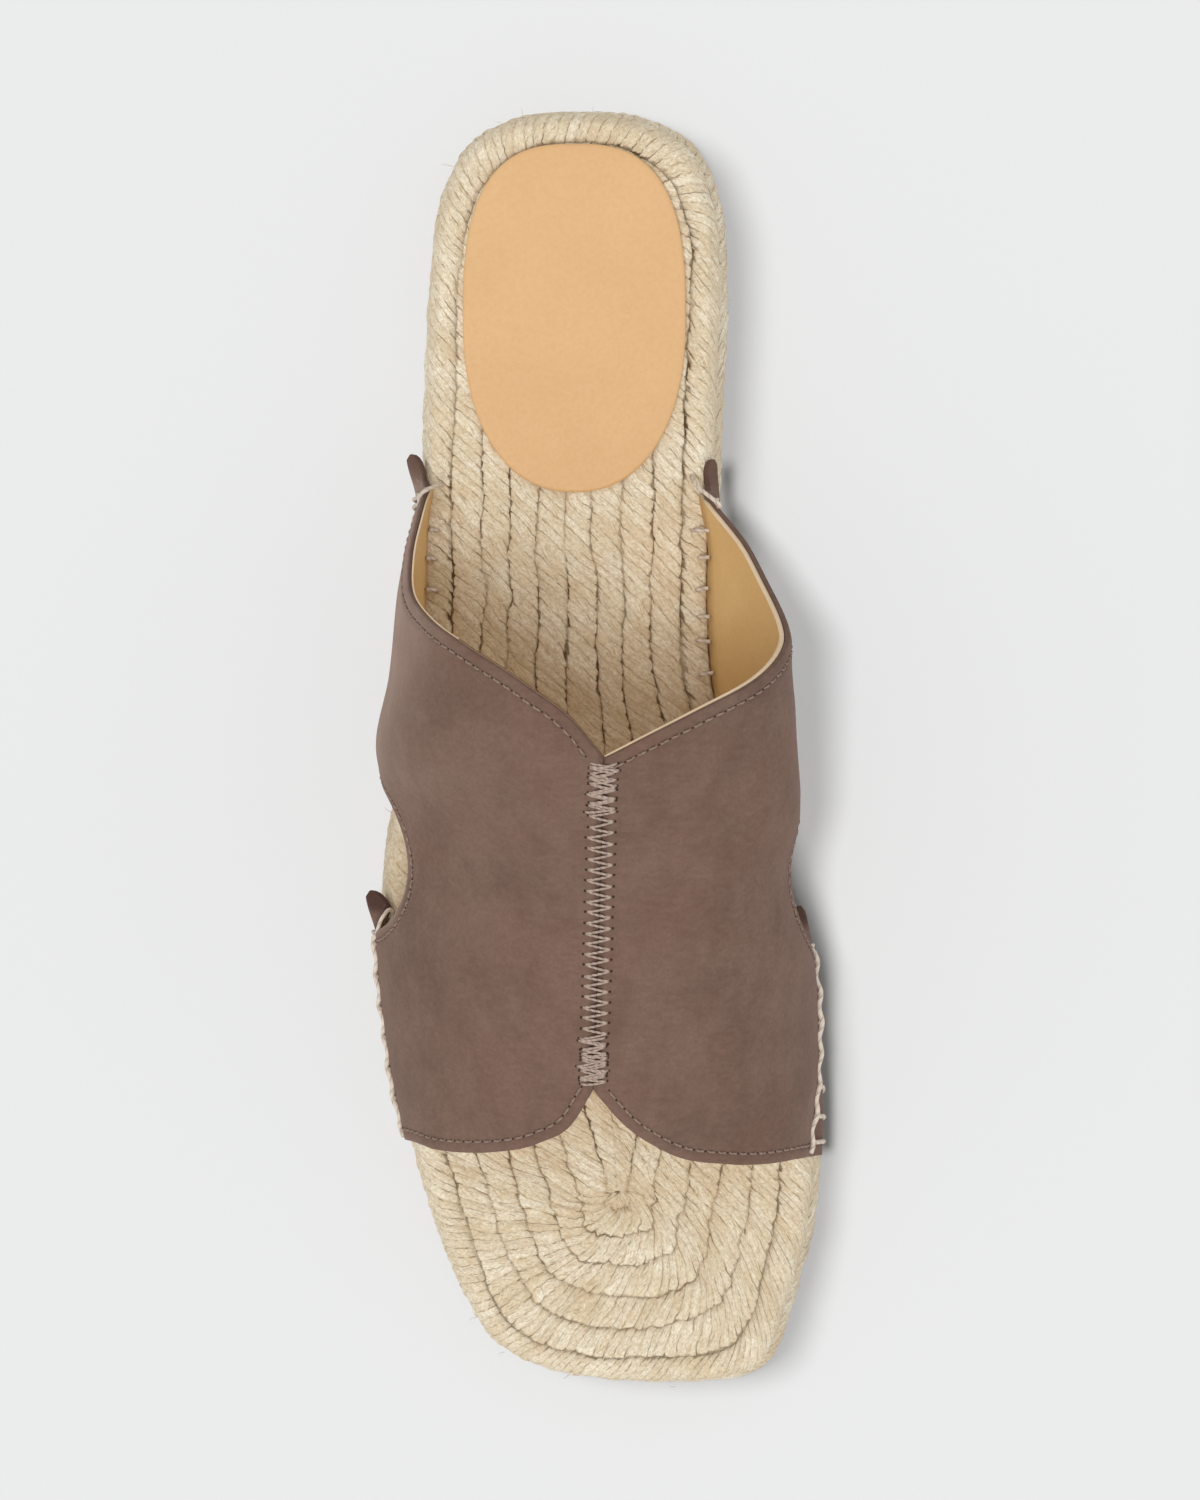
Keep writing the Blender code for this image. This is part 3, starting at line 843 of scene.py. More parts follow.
def leather_material(name, dark, light, roughness, grain):
    graph = Graph(name, Roughness=roughness, Specular_IOR_Level=0.3)
    place = graph.place()
    drift = place.noise(45.0, 3.0)
    fine = place.noise(1300.0, 2.0, 0.6)
    pores = graph.add("ShaderNodeTexVoronoi", {"Vector": place, "Scale": 1500.0})
    graph.paint(graph.mix(drift.ramp(0.35, 0.65), dark, light),
                (fine.ramp(0.3, 0.75, 0.0, 0.12), (188, 140, 86)))
    graph.bump(fine * 0.6 + pores.ramp(0.0, 0.35), grain, 0.35)
    graph.link("Roughness", fine.ramp(0.2, 0.8, roughness - 0.06, roughness + 0.1))
    return graph.material


def thread_material(name, dark, light):
    graph = Graph(name, Roughness=0.8, Specular_IOR_Level=0.2)
    lay = graph.lay()
    ridge = abs(lay.split()[0].math("FRACT") - 0.5)
    fibre = (lay * (7.0, 1.0, 3.7)).noise()
    # painted shade darkens the grooves between the plies
    graph.paint(graph.mix(fibre.ramp(0.3, 0.7), dark, light),
                (ridge.ramp(0.3, 0.5, 0.0, 0.45), (128, 104, 88)))
    graph.bump(fibre - ridge * 2.0, 0.25, 0.7)
    return graph.material


def plain_material(name, dark, light, scale, roughness, specular):
    """A surface with no more than a drift between two tones."""
    graph = Graph(name, Roughness=roughness, Specular_IOR_Level=specular)
    graph.paint(graph.mix(graph.place().noise(scale), dark, light))
    return graph.material


JUTE = jute_material()
SUEDE = suede_material("suede", (111, 88, 77), (125, 101, 89), 0.28)
SUEDE_EDGE = suede_material("suede_edge", (98, 77, 67), (112, 90, 79), 0.3)
SOCK_LEATHER = leather_material("sock_leather", (220, 177, 126), (223, 180, 129), 0.5, 0.05)
LINING = leather_material("lining_leather", (220, 183, 124), (228, 192, 134), 0.6, 0.06)
RAW_EDGE = leather_material("raw_edge", (222, 198, 168), (236, 214, 186), 0.85, 0.08)
SEAM_THREAD = thread_material("seam_thread", (170, 148, 135), (204, 184, 170))
EDGE_THREAD = thread_material("edge_thread", (136, 113, 101), (170, 148, 135))
BLANKET_THREAD = thread_material("blanket_thread", (214, 196, 178), (240, 228, 214))
# Needle holes: dark pegs whose colour is painted shade inside the holes
HOLE_SHADE = plain_material("needle_hole", (62, 46, 41), (80, 61, 54), 2600.0, 1.0, 0.0)
FLOOR = plain_material("pale_floor", (146.82, 147.05, 147.51), (148.2, 148.42, 148.88), 3.0, 0.85, 0.1)


# Sole in jute


def strand_pitch(y):
    return blend(TOE_STRAND_PITCH, STRAND_PITCH, soft_step(*TOE_PITCH_STRETCH, y))


def strand_slant(x, y):
    """Lean of the strands along their row: steep at the waist and the inner toe, slight at both tips."""
    toe = blend(TOE_STRAND_ANGLE[LATERAL], TOE_STRAND_ANGLE[MEDIAL], soft_step(*TOE_ANGLE_WIDTH, x))
    angle = blend(toe, STRAND_ANGLE, soft_step(*TOE_ANGLE_STRETCH, y))
    angle = blend(angle, HEEL_STRAND_ANGLE, soft_step(*HEEL_ANGLE_STRETCH, y))
    return np.tan(np.radians(angle))


def strand_phase(loop):
    """Strand count along a closed loop of plan points, whole at its end, with one value more than points."""
    after = np.roll(loop, -1, axis=0)
    step = np.hypot(*(after - loop).T) / strand_pitch((loop[:, 1] + after[:, 1]) / 2)
    phase = running(step)
    return phase * max(1.0, round(phase[-1])) / phase[-1]


def strand_lay(loop, distance, across, row, lean):
    """Strand number, place across the row, and the row's code with the way across it in millimetres.

    One value for each level of a row by each ray, and the first ray again.
    """
    x, y = np.append(loop, loop[:1], axis=0).T
    number = strand_phase(loop) + lean * strand_slant(x, y) / strand_pitch(y) * distance[:, None]
    number = number + STRAND_UNEVENNESS * (line_noise(strand_table, row, number * UNEVEN_RATE) - 0.5)
    place, way = (np.broadcast_to(values[:, None], number.shape) for values in (across, distance))
    return np.stack([number, place, ROW_CODE * row + way], axis=-1)


def strand_relief(lay, row):
    """Height of the strands of one row over its plain surface."""
    number, across = lay[..., 0], np.abs(lay[..., 1])
    cell = np.floor(number).astype(int)
    ridge = np.abs(2.0 * (number - cell) - 1.0)
    lift = STRAND_JITTER * (strand_table[row, cell % TABLE_SIZE] - 0.5) * (1.0 - ridge**2)
    cut = STRAND_CUTS[0] + STRAND_CUTS[1] * line_noise(groove_table, row, number * CUT_RATE)
    return (1.0 - across**GROOVE_POWER) * (lift - STRAND_VALLEY * cut * ridge**2.4)


def groove_relief(lay, row):
    """Depth of the grooves at both sides of a row."""
    across = lay[..., 1]
    key = np.where(across > 0, row + 1, row)
    depth = GROOVE_DEPTHS[0] + GROOVE_DEPTHS[1] * line_noise(groove_table, key, lay[..., 0] * GROOVE_RATE)
    return -GROOVE * depth * np.abs(across) ** GROOVE_POWER


def strip_quads(levels, rays):
    """Quads between rings of points, facing out where the rings go up the side and in over the top."""
    level = (np.arange(levels - 1) * rays)[:, None]
    ray = np.arange(rays)
    after = (ray + 1) % rays
    corners = [level + ray, level + rays + ray, level + rays + after, level + after]
    return np.stack(corners, axis=-1).reshape(-1, 4)


def strip_corners(lay):
    """The lay at the corners of the quads of a strip."""
    return np.stack([lay[:-1, :-1], lay[1:, :-1], lay[1:, 1:], lay[:-1, 1:]], axis=2).reshape(-1, 4, 3)


def jute_piece(name, sections, axes):
    """A piece of the sole from rings of points with their lay, section after section.

    Points count as one where they lie together by their first axes, as rays do that end on the spine.
    """
    grid = np.concatenate([sections[0][0]] + [points[1:] for points, _ in sections[1:]])
    lay = np.concatenate([strip_corners(section_lay) for _, section_lay in sections])
    points = grid.reshape(-1, 3)
    first, place = together(points[:, :axes])
    quads = place[strip_quads(*grid.shape[:2])]
    keep = whole(quads)
    piece = new_piece(name, points[first], quads[keep], lay[keep], [JUTE], "jute")
    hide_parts("sole")


def coil_row(coil, bounds, row, steps):
    """Plan points and lay of one row, at steps from its outer to its inner groove."""
    middle, plan = (plan_at(coil, blend(bounds[row], bounds[row + 1], np.reshape(share, (-1, 1))))
                    for share in (0.5, steps))
    return plan, strand_lay(middle[0], ROW * (steps - 0.5), 2.0 * steps - 1.0, row, 1.0)


def build_coil(coil):
    """The inner rows of the footbed."""
    bounds = row_bounds(coil)
    sections = []
    for row in range(1, ROW_COUNT):
        plan, lay = coil_row(coil, bounds, row, crowded(ROW_LEVELS))
        relief = groove_relief(lay, row) + strand_relief(lay, row)
        sections.append((raised(plan, sole_top(plan[..., 1]) + relief[:, :-1]), lay))
    jute_piece("jute_coil", sections, axes=2)


def build_outer_row(coil):
    """The outermost row with the sole's side and underside."""
    bounds = row_bounds(coil)
    sections = []
    for row in reversed(range(1, ROW_COUNT)):
        plan, lay = coil_row(coil, bounds, row, np.linspace(1.0, 0.0, UNDERSIDE_LEVELS))
        groove = UNDERSIDE_GROOVE * np.abs(lay[:, :-1, 1]) ** 3
        sections.append((raised(plan, sole_bottom(plan[..., 1]) + groove), lay))
    low = side_levels(coil, np.linspace(0.0, RIB_SHARE, LOW_RIB_LEVELS))
    high = side_levels(coil, np.linspace(RIB_SHARE, SHOULDER.share, HIGH_RIB_LEVELS))
    top = top_levels(coil, bounds[1], np.linspace(0.0, 1.0, TOP_LEVELS)[1:])
    for row, points, lean in ((ROW_COUNT + 1, low, -1.0), (0, np.concatenate([high, top]), 1.0)):
        length = running(np.linalg.norm(np.diff(points, axis=0), axis=2).mean(axis=1))
        across = 2.0 * length / length[-1] - 1.0
        lay = strand_lay(coil.rim, length - length[-1] + 0.5 * ROW, across, row, lean)
        relief = strand_relief(lay, row)[:, :-1, None]
        sections.append((points + level_normals(points) * relief, lay))
    jute_piece("jute_outer_row", sections, axes=3)


def covered(rim):
    """How far the upper hides the sole's shoulder at each ray: 1 under its legs, 0 where it is bare."""
    y = rim[:, 1]
    side = np.where(rim[:, 0] > spine_x(y), MEDIAL, LATERAL)
    hidden = np.zeros(len(rim))
    for notch in NOTCHES:
        front, back = (edge_y(0.0, notch.side, end) for end in ("front", "back"))
        for start, end in ((front, notch.y - notch.half_width), (notch.y + notch.half_width, back)):
            inside = soft_step(start, start + COVER_EASE, y) * (1.0 - soft_step(end - COVER_EASE, end, y))
            hidden += np.where(side == notch.side, inside, 0.0)
    return hidden


def side_insets(coil, shares):
    """Distance in from the outline at each share of the thickness, squarer at the top under the upper."""
    inset = look_up(SIDE_LEVELS, "inset", shares)[:, None]
    square = blend(NECK.inset, inset, COVERED_SHOULDER)
    return blend(inset, square, covered(coil.rim) * (shares[:, None] > NECK.share))


def side_levels(coil, shares):
    """Rings of points up the side of the sole."""
    plan = plan_at(coil, side_insets(coil, shares))
    return raised(plan, blend(sole_bottom(plan[..., 1]), sole_top(plan[..., 1]), shares[:, None]))


def top_levels(coil, groove, share):
    """Rings of points over the top of the outermost row, down into the first groove."""
    shoulder_in = side_insets(coil, np.array([SHOULDER.share]))[0]
    plan = plan_at(coil, blend(shoulder_in, groove, share[:, None]))
    shoulder = (1.0 - SHOULDER.share) * FOREFOOT_THICKNESS
    drop = shoulder * (1.0 - soft_step(0.0, SHOULDER_EASE, share))
    drop = drop + TOP_GROOVE * GROOVE * share**GROOVE_POWER
    return raised(plan, sole_top(plan[..., 1]) - drop[:, None])


def level_normals(points):
    along = np.roll(points, -1, axis=1) - np.roll(points, 1, axis=1)
    return unit(np.cross(np.gradient(points, axis=0), along))


def build_stray_fibres(coil):
    """Loose jute hairs on the footbed, at the rim and at the grooves."""
    draw = np.random.default_rng(21)
    count = FIBRE_COUNT
    ray = draw.integers(0, len(coil.rim), count)
    row = draw.integers(0, 5, count)
    depth = np.where(draw.random(count) < 0.3, draw.random(count) * FIBRE_RIM,
                     OUTER_ROW + ROW * (row + draw.normal(0.0, 0.08, count)))
    rays = Coil(*(values[ray] for values in coil))
    depth = np.minimum(depth, rays.full_depth - 1.0)
    at_rim = depth < FIBRE_RIM
    foot = plan_at(rays, depth)
    drop = np.where(at_rim, 0.4 + 2.6 * draw.random(count), 0.5)
    root = raised(foot, sole_top(foot[:, 1]) - drop)
    turn = draw.random(count) * 2 * np.pi
    head = np.column_stack([np.cos(turn), np.sin(turn), 0.1 + 0.45 * draw.random(count)])
    head[:, :2] += np.where(at_rim, 0.9, 0.0)[:, None] * unit(rays.rim - rays.spine)
    head = unit(head) * (1.0 + 1.8 * draw.random(count))[:, None]
    bend = draw.normal(0.0, 0.35, (count, 3))
    share = np.linspace(0.0, 1.0, len(FIBRE_RADII))[:, None]
    paths = root[:, None] + head[:, None] * share + bend[:, None] * share * (1.0 - share) * 2.0
    paths[:, :, 2] -= 0.5 * share[:, 0] ** 2
    new_piece("stray_fibres", *tubes(paths, FIBRE_RADII, sides=4), [JUTE], "jute")


# Shape of the upper


def upper_face(y, share, side):
    """Points on the upper's outer face: at stations y, a share of the way from sole to seam."""
    y = np.asarray(y, float)
    names = ("seam_x", "seam_height", SIDE_NAMES[side] + "_flare")
    seam_x, height, flare = (look_up(UPPER_STATIONS, name, y) for name in names)
    tip = soft_step(*TIP_STRETCH, y)
    front = 1.0 - soft_step(*FRONT_STRETCH, y)
    side_x = sole_edge(y, side) + side * (FEATHER_OUT - TIP_TUCK * tip)
    foot_x = side_x - side * FRONT_TUCK[side] * front
    wide_x = side_x + side * flare
    foot_z = sole_top(y) + FEATHER_RISE + TIP_RISE * tip + FRONT_RISE * front
    top_z = sole_top(y) + height
    pulls_x = (foot_x, wide_x, blend(seam_x, wide_x, CROWN_PULL[side]), seam_x)
    pulls_z = (foot_z, blend(foot_z, top_z, WALL_HEIGHT_PULL), top_z, top_z)
    weights = ((1 - share) ** 3, 3 * share * (1 - share) ** 2, 3 * share**2 * (1 - share), share**3)
    x, z = (sum(weight * pull for weight, pull in zip(weights, pulls)) for pulls in (pulls_x, pulls_z))
    return np.stack([x + side * BUTT_GAP * share**8, y, z], axis=-1)


def hem_face(y, drop, side, flare):
    """Points on the outer face of the hem that lies against the sole's side."""
    slope = (sole_edge(y + 1.0, side) - sole_edge(y - 1.0, side)) / 2.0
    out = (SEAT_GAP + HEM_WALL - HEM_SEAT + flare) * np.hypot(1.0, slope)
    return np.stack([sole_edge(y, side) + side * out, y, sole_top(y) - drop], axis=-1)


def edge_y(share, side, end):
    """Where the front or back edge of the upper is, a share of the way from sole to seam."""
    return float(look_up(EDGE_ROWS, SIDE_NAMES[side] + "_" + end, share))


FRONT_STEPS = crowded(FRONT_ROWS)
REAR_STEPS = crowded(REAR_ROWS)
Column = namedtuple("Column", "share drop opening lift")


def panel_columns(notch):
    """Columns from the hem's lower edge up to the seam."""
    columns = [Column(0.0, drop, 1.0, 0.0) for drop in np.linspace(HEM_DROP, HEM_FOLD, HEM_LEVELS)]
    columns += [Column(0.0, HEM_FOLD, 1.0, lift) for lift in FOLD_LIFTS]
    for bend in np.linspace(0.0, math.pi / 2, ARCH_COLUMNS):
        columns.append(Column(notch.top_share * math.sin(bend), 0.0, math.cos(bend), 1.0))
    even = np.linspace(0.0, 1.0, WALL_COLUMNS)
    for rise in (0.2 * even + 0.8 * crowded(WALL_COLUMNS))[1:]:
        columns.append(Column(blend(notch.top_share, 1.0, rise), 0.0, 0.0, 1.0))
    return columns


def ear_reach(ear, low):
    """Reach of a flap at a share low of the way down the hem: longest low down, blunt at the tip."""
    rise = math.sin(math.pi / 2 * min(low / EAR_FULL, 1.0))
    blunt = 1.0 - EAR_BLUNT * max(0.0, (low - EAR_FULL) / (1.0 - EAR_FULL)) ** 2
    return ear.reach * blunt * blend(ear.inner, 1.0, rise)


def loose_end(ear, y, end, low):
    """Outward shift and lift of the hem near a free end, at a share low of the way down the hem."""
    opened = soft_step(-EAR_ROOT, ear.reach, y - end)
    return opened * blend(ear.high_out, ear.low_out, low), opened * ear.lift


def notch_shift(gap, share, run):
    """How far the notch pushes rows aside: half its opening at the edge, dying out over a few openings."""
    return gap * share * np.exp(-run / (NOTCH_PULL * max(gap, 1e-6)))


def panel_strip(notch, spot):
    """One column of points, front part then rear part, split by the notch.

    The hem's back ends stick out past the wall as loose flaps, blunt at the tip, lifted and tipped outward.
    """
    side = notch.side
    low = np.clip((spot.drop - HEM_FOLD) / (HEM_DROP - HEM_FOLD), 0.0, 1.0)
    gap = notch.half_width * spot.opening
    front_edge, back_edge = (edge_y(spot.share, side, end) for end in ("front", "back"))
    front_ear, back_ear = NOTCH_EARS[side], BACK_EARS[side]
    front_tip, rear_tip = ((1.0 - spot.lift) * ear_reach(ear, low) for ear in (front_ear, back_ear))
    front_run = (1.0 - FRONT_STEPS) * (notch.y + front_tip - front_edge)
    rear_run = REAR_STEPS * (back_edge + rear_tip - notch.y)
    front = notch.y + front_tip - front_run - notch_shift(gap, FRONT_STEPS, front_run)
    rear = notch.y + rear_run + notch_shift(gap, 1.0 - REAR_STEPS, rear_run)
    front_out, front_lift = loose_end(front_ear, front, notch.y - gap, low)
    rear_out, rear_lift = loose_end(back_ear, rear, back_edge, low)
    y = np.concatenate([front, rear])
    hem = hem_face(y, spot.drop, side, np.concatenate([front_out, rear_out]))
    hem[:, 2] += np.concatenate([front_lift, rear_lift])
    return blend(hem, upper_face(y, spot.share, side), spot.lift)


Panel = namedtuple("Panel", "notch points normals quads wall front topline arch seam")


def panel_quads(index, side):
    """Quads of a grid of point numbers, columns by rows, left open where the notch splits the rows."""
    row = np.delete(np.arange(index.shape[1] - 1), FRONT_ROWS - 1)
    low, high = index[:-1], index[1:]
    quads = np.stack([low[:, row], high[:, row], high[:, row + 1], low[:, row + 1]], axis=-1).reshape(-1, 4)
    quads = quads[whole(quads)]
    return quads if side == LATERAL else quads[:, ::-1]


def make_panel(notch):
    """The outer face of one suede panel, with the lines of its free edges."""
    spots = panel_columns(notch)
    grid = np.stack([panel_strip(notch, spot) for spot in spots])
    first, place = together(grid.reshape(-1, 3))
    points = grid.reshape(-1, 3)[first]
    index = place.reshape(grid.shape[:2])
    quads = panel_quads(index, notch.side)
    wall = index[next(k for k, spot in enumerate(spots) if spot.lift == 1.0):]
    arch = np.concatenate([wall[:ARCH_COLUMNS, FRONT_ROWS - 1], wall[:ARCH_COLUMNS - 1, FRONT_ROWS][::-1]])
    normals = vertex_normals(points, quads)
    return Panel(notch, points, normals, quads, wall, wall[:, 0], wall[:, -1], arch, wall[-1])


def distances(points, line):
    """Distance of each point from a line of points."""
    cloud = resample(line, LINE_SPACING)
    tree = KDTree(len(cloud))
    for k, point in enumerate(cloud):
        tree.insert(point, k)
    tree.balance()
    return np.array([tree.find(point)[2] for point in points])


def edge_distance(panel, line):
    """Distance of each of a panel's points from one of its lines."""
    return distances(panel.points, panel.points[line])


def crease_relief(panel):
    """Soft troughs and ridges laid across the panel."""
    relief = np.zeros(len(panel.points))
    share = np.linspace(0.0, 1.0, CREASE_POINTS)
    for crease in CREASES:
        if crease.side != panel.notch.side:
            continue
        y = blend(crease.y0, crease.y1, share)
        line = upper_face(y, blend(crease.share0, crease.share1, share), crease.side)
        distance = np.linalg.norm(line[None] - panel.points[:, None], axis=2)
        nearest = share[np.argmin(distance, axis=1)]
        fade = np.sin(np.pi * (nearest + CREASE_ENDS) / (1.0 + 2.0 * CREASE_ENDS))
        relief += crease.height * fade * np.exp(-(distance.min(axis=1) / crease.half_width) ** 2)
    return relief


def ripples(table, distance):
    return sum(row.height * np.exp(-((distance - row.inset) / row.width) ** 2) for row in table)


def panel_relief(panel):
    """Height over the plain face: creases, rolled edges, stitch lines and the butt seam."""
    edges = (panel.front, panel.topline, panel.arch)
    free = np.minimum.reduce([edge_distance(panel, line) for line in edges])
    seam = edge_distance(panel, panel.seam)
    on_wall = soft_step(*WALL_START, panel.points[:, 2] - sole_top(panel.points[:, 1]))
    roll = np.clip(1.0 - free / EDGE_ROLL.width, 0.0, 1.0)
    rolled = EDGE_ROLL.height * (1.0 - np.sqrt(1.0 - roll**2))
    sewn = ripples(EDGE_RIPPLES, free) + ripples(SEAM_RIPPLES, seam)
    return crease_relief(panel) + on_wall * (rolled + sewn)


def shell(outer, inner, quads, bulge):
    """A closed sheet between two faces, with a rounded rim. Kinds: 0 outer face, 1 rim, 2 inner face."""
    count = len(outer)
    edges = np.concatenate([np.stack([quads[:, k], quads[:, (k + 1) % 4]], axis=1) for k in range(4)])
    _, place, times = np.unique(np.sort(edges, axis=1), axis=0, return_inverse=True, return_counts=True)
    rim = edges[times[place.ravel()] == 1]
    ring, at = np.unique(rim, return_inverse=True)
    normal = unit(outer - inner)
    out = np.zeros_like(outer)
    for end in (0, 1):
        np.add.at(out, rim[:, end], np.cross(outer[rim[:, 1]] - outer[rim[:, 0]], normal[rim[:, end]]))
    middle = (outer[ring] + inner[ring]) / 2 + bulge * unit(out[ring])
    mids = 2 * count + at.reshape(rim.shape)
    walls = np.concatenate([
        np.stack([rim[:, 1], rim[:, 0], mids[:, 0], mids[:, 1]], axis=1),
        np.stack([mids[:, 1], mids[:, 0], rim[:, 0] + count, rim[:, 1] + count], axis=1)])
    kinds = np.repeat([0, 1, 2], [len(quads), len(walls), len(quads)])
    quads = np.concatenate([quads, walls, quads[:, ::-1] + count])
    return np.concatenate([outer, inner, middle]), quads, kinds


def flap_tone(points, notch):
    """How dark the loose flaps of the hem are: 0 on the wall, 1 near the tip of a notch's flap."""
    y = points[:, 1]
    back = soft_step(*BACK_FLAP_START, y - edge_y(0.0, notch.side, "back"))
    front = soft_step(*NOTCH_FLAP_START, y - notch.y + notch.half_width)
    front = front * (y < notch.y + 0.5 * notch.half_width)
    return np.maximum(BACK_FLAP_TONE * back, front * (points[:, 2] < sole_top(y) + FLAP_HEIGHT))


def painted_wall_sheen(panel):
    """Where a painted sheen lightens the suede, standing in for light from the outer side: on the steep
    outer wall behind the notch.
    """
    if panel.notch.side == MEDIAL:
        return 0.0
    behind = soft_step(*SHEEN_STRETCH, panel.points[:, 1])
    return behind * (1.0 - soft_step(*SHEEN_STEEPNESS, panel.normals[:, 2]))


def build_suede(panel):
    """One suede panel. Returns the tree of its outer face."""
    outer = panel.points + panel.normals * panel_relief(panel)[:, None]
    inner = panel.points - panel.normals * SUEDE_WALL
    points, quads, kinds = shell(outer, inner, panel.quads, SUEDE_BULGE)
    lay = np.zeros_like(points)
    lay[:, 0] = flap_tone(points, panel.notch)
    lay[:len(outer), 1] = np.exp(-(edge_distance(panel, panel.arch) / EDGE_WEAR) ** 2)
    # third lay value: the painted sheen on the steep outer wall
    lay[:len(outer), 2] = painted_wall_sheen(panel)
    piece = new_piece("suede_panel_" + SIDE_NAMES[panel.notch.side], points, quads, lay[quads],
                      [SUEDE, SUEDE_EDGE], "suede", kinds > 0)
    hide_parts("upper")
    return BVHTree.FromPolygons([Vector(point) for point in outer], panel.quads.tolist())


def build_lining(panel):
    """The tan leather facing inside one panel, its cut edge a little proud of the suede."""
    side = panel.notch.side
    base = panel.points.copy()
    base[panel.wall[0], 2] -= LINING_SKIRT
    upward = unit(panel.points[panel.topline] - panel.points[panel.wall[:, -4]])
    base[panel.topline] += LINING_PROUD * upward
    outer = base - panel.normals * (SUEDE_WALL + LINING_GAP)
    foot = soft_step(*LINING_FOOT_BELOW, edge_distance(panel, panel.topline))
    foot = foot * soft_step(*LINING_FOOT_STRETCH, panel.points[:, 1])
    inner = outer - panel.normals * blend(LINING_RIM[side], LINING_FOOT[side], foot)[:, None]
    used, place = np.unique(panel_quads(panel.wall, side), return_inverse=True)
    points, quads, kinds = shell(outer[used], inner[used], place.reshape(-1, 4), LINING_BULGE)
    turned = points[quads].mean(axis=1)[:, 1] < RAW_EDGE_END[side]
    piece = new_piece("lining_" + SIDE_NAMES[side], points, quads, None, [LINING, RAW_EDGE, SUEDE_EDGE],
                      "sock_leather", np.where(kinds == 1, 1 + turned, 0))
    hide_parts("upper")


# Stitching


def on_surface(tree, points):
    """Nearest points of a surface and their normals."""
    found = [tree.find_nearest(Vector(point)) for point in points]
    return np.array([hit[0] for hit in found]), np.array([hit[1] for hit in found])


def inset_line(panel, line, neighbours):
    """The topstitch's line on the panel, along one of its edges."""
    edge, inner = panel.points[line], panel.points[neighbours]
    inward = unit(np.cross(panel.normals[line], np.gradient(edge, axis=0)))
    return edge + TOPSTITCH_INSET * np.sign(np.sum(inward * (inner - edge))) * inward


def needle_holes(spots, normals, proud):
    """Short dark pegs through the suede: painted shade inside the needle holes."""
    return np.stack([spots - HOLE_DEPTH * normals, spots + proud * normals], axis=1)


def run_of_stitches(tree, line):
    """Stitches along a line, and the needle holes between them."""
    spots, normals = on_surface(tree, resample(line, TOPSTITCH_PITCH / TOPSTITCH_STEPS))
    step = np.arange(len(spots))
    start = np.arange((len(spots) - 1) // TOPSTITCH_STEPS) * TOPSTITCH_STEPS
    at = start[:, None] + np.array(TOPSTITCH.shares) * TOPSTITCH_FILL * TOPSTITCH_STEPS
    path, normal = (np.stack([np.interp(at, step, values) for values in ends.T], axis=-1)
                    for ends in (spots, normals))
    hole = start + int(round(0.5 * TOPSTITCH_STEPS * (1.0 + TOPSTITCH_FILL)))
    hole = hole[hole < len(spots)]
    path = path + unit(normal) * np.array(TOPSTITCH.lifts)[:, None]
    return path, needle_holes(spots[hole], normals[hole], HOLE_PROUD)


def build_topstitch(panels, trees):
    groups, holes = [], []
    for panel, tree in zip(panels, trees):
        arch = panel.wall[:ARCH_COLUMNS]
        arch_inner = np.concatenate([arch[:, FRONT_ROWS - 8], arch[:-1, FRONT_ROWS + 7][::-1]])
        for line in (inset_line(panel, panel.front, panel.wall[:, 12])[2:],
                     inset_line(panel, panel.topline, panel.wall[:, -14])[3:],
                     inset_line(panel, panel.arch, arch_inner)):
            line = resample(line, 0.5)
            line = line[distances(line, panel.points[panel.seam]) > TOPSTITCH_SEAM_GAP]
            paths, line_holes = run_of_stitches(tree, line)
            groups.append(tubes(paths, TOPSTITCH_RADIUS, twist=1.0))
            holes.append(line_holes)
    new_piece("edge_topstitch", *joined(groups), [EDGE_THREAD])
    new_piece("edge_needle_holes", *tubes(np.concatenate(holes), HOLE_RADIUS), [HOLE_SHADE])


def sideways(amount):
    """Vectors along x."""
    return np.stack([amount, np.zeros_like(amount), np.zeros_like(amount)], axis=-1)


def seam_points(trees, y, offset):
    """Points on the crown beside the seam, with normals: offset is towards the inner side if positive."""
    guess = upper_face(y, 1.0, LATERAL) + sideways(offset)
    spots, normals = np.zeros_like(guess), np.zeros_like(guess)
    for side, tree in zip((LATERAL, MEDIAL), trees):
        mine = np.sign(offset) == side
        if mine.any():
            spots[mine], normals[mine] = on_surface(tree, guess[mine])
    return spots, normals


def build_zigzag(trees):
    """The zigzag that joins the two panels, with a dense bar tack at each end, and its needle holes."""
    draw = np.random.default_rng(31)
    half = ZIGZAG_PERIOD / 2.0
    runs = [(ZIGZAG_BACK, ZIGZAG_FRONT, half, MEDIAL, SEAM_WOBBLE)]
    for start, end in ((ZIGZAG_BACK, ZIGZAG_BACK - BAR_TACK), (ZIGZAG_FRONT + BAR_TACK, ZIGZAG_FRONT)):
        runs += [(start + tack.start_trim, end + tack.end_trim, half * tack.step, tack.first, TACK_WOBBLE)
                 for tack in TACK_RUNS]
    paths, holes = [], []
    for start, end, step, first, wobble in runs:
        y = np.arange(start, end, -step)
        y = y + draw.normal(0.0, wobble.along, len(y))
        reach = ZIGZAG_HALF + draw.normal(0.0, wobble.across, len(y))
        side = first * np.where(np.arange(len(y)) % 2, 1.0, -1.0)
        spots, normals = seam_points(trees, y, side * reach)
        lifts = np.array(ZIGZAG.lifts) + wobble.lift
        path = blend(spots[:-1, None], spots[1:, None], np.array(ZIGZAG.shares)[:, None])
        paths.append(path + unit(normals[:-1] + normals[1:])[:, None] * lifts[:, None])
        holes.append(needle_holes(spots + SEAM_HOLE_OUT * sideways(side), normals, SEAM_HOLE_PROUD))
    new_piece("seam_zigzag", *tubes(np.concatenate(paths), ZIGZAG_RADIUS, twist=1.1), [SEAM_THREAD])
    new_piece("seam_needle_holes", *tubes(np.concatenate(holes), SEAM_HOLE_RADIUS), [HOLE_SHADE])


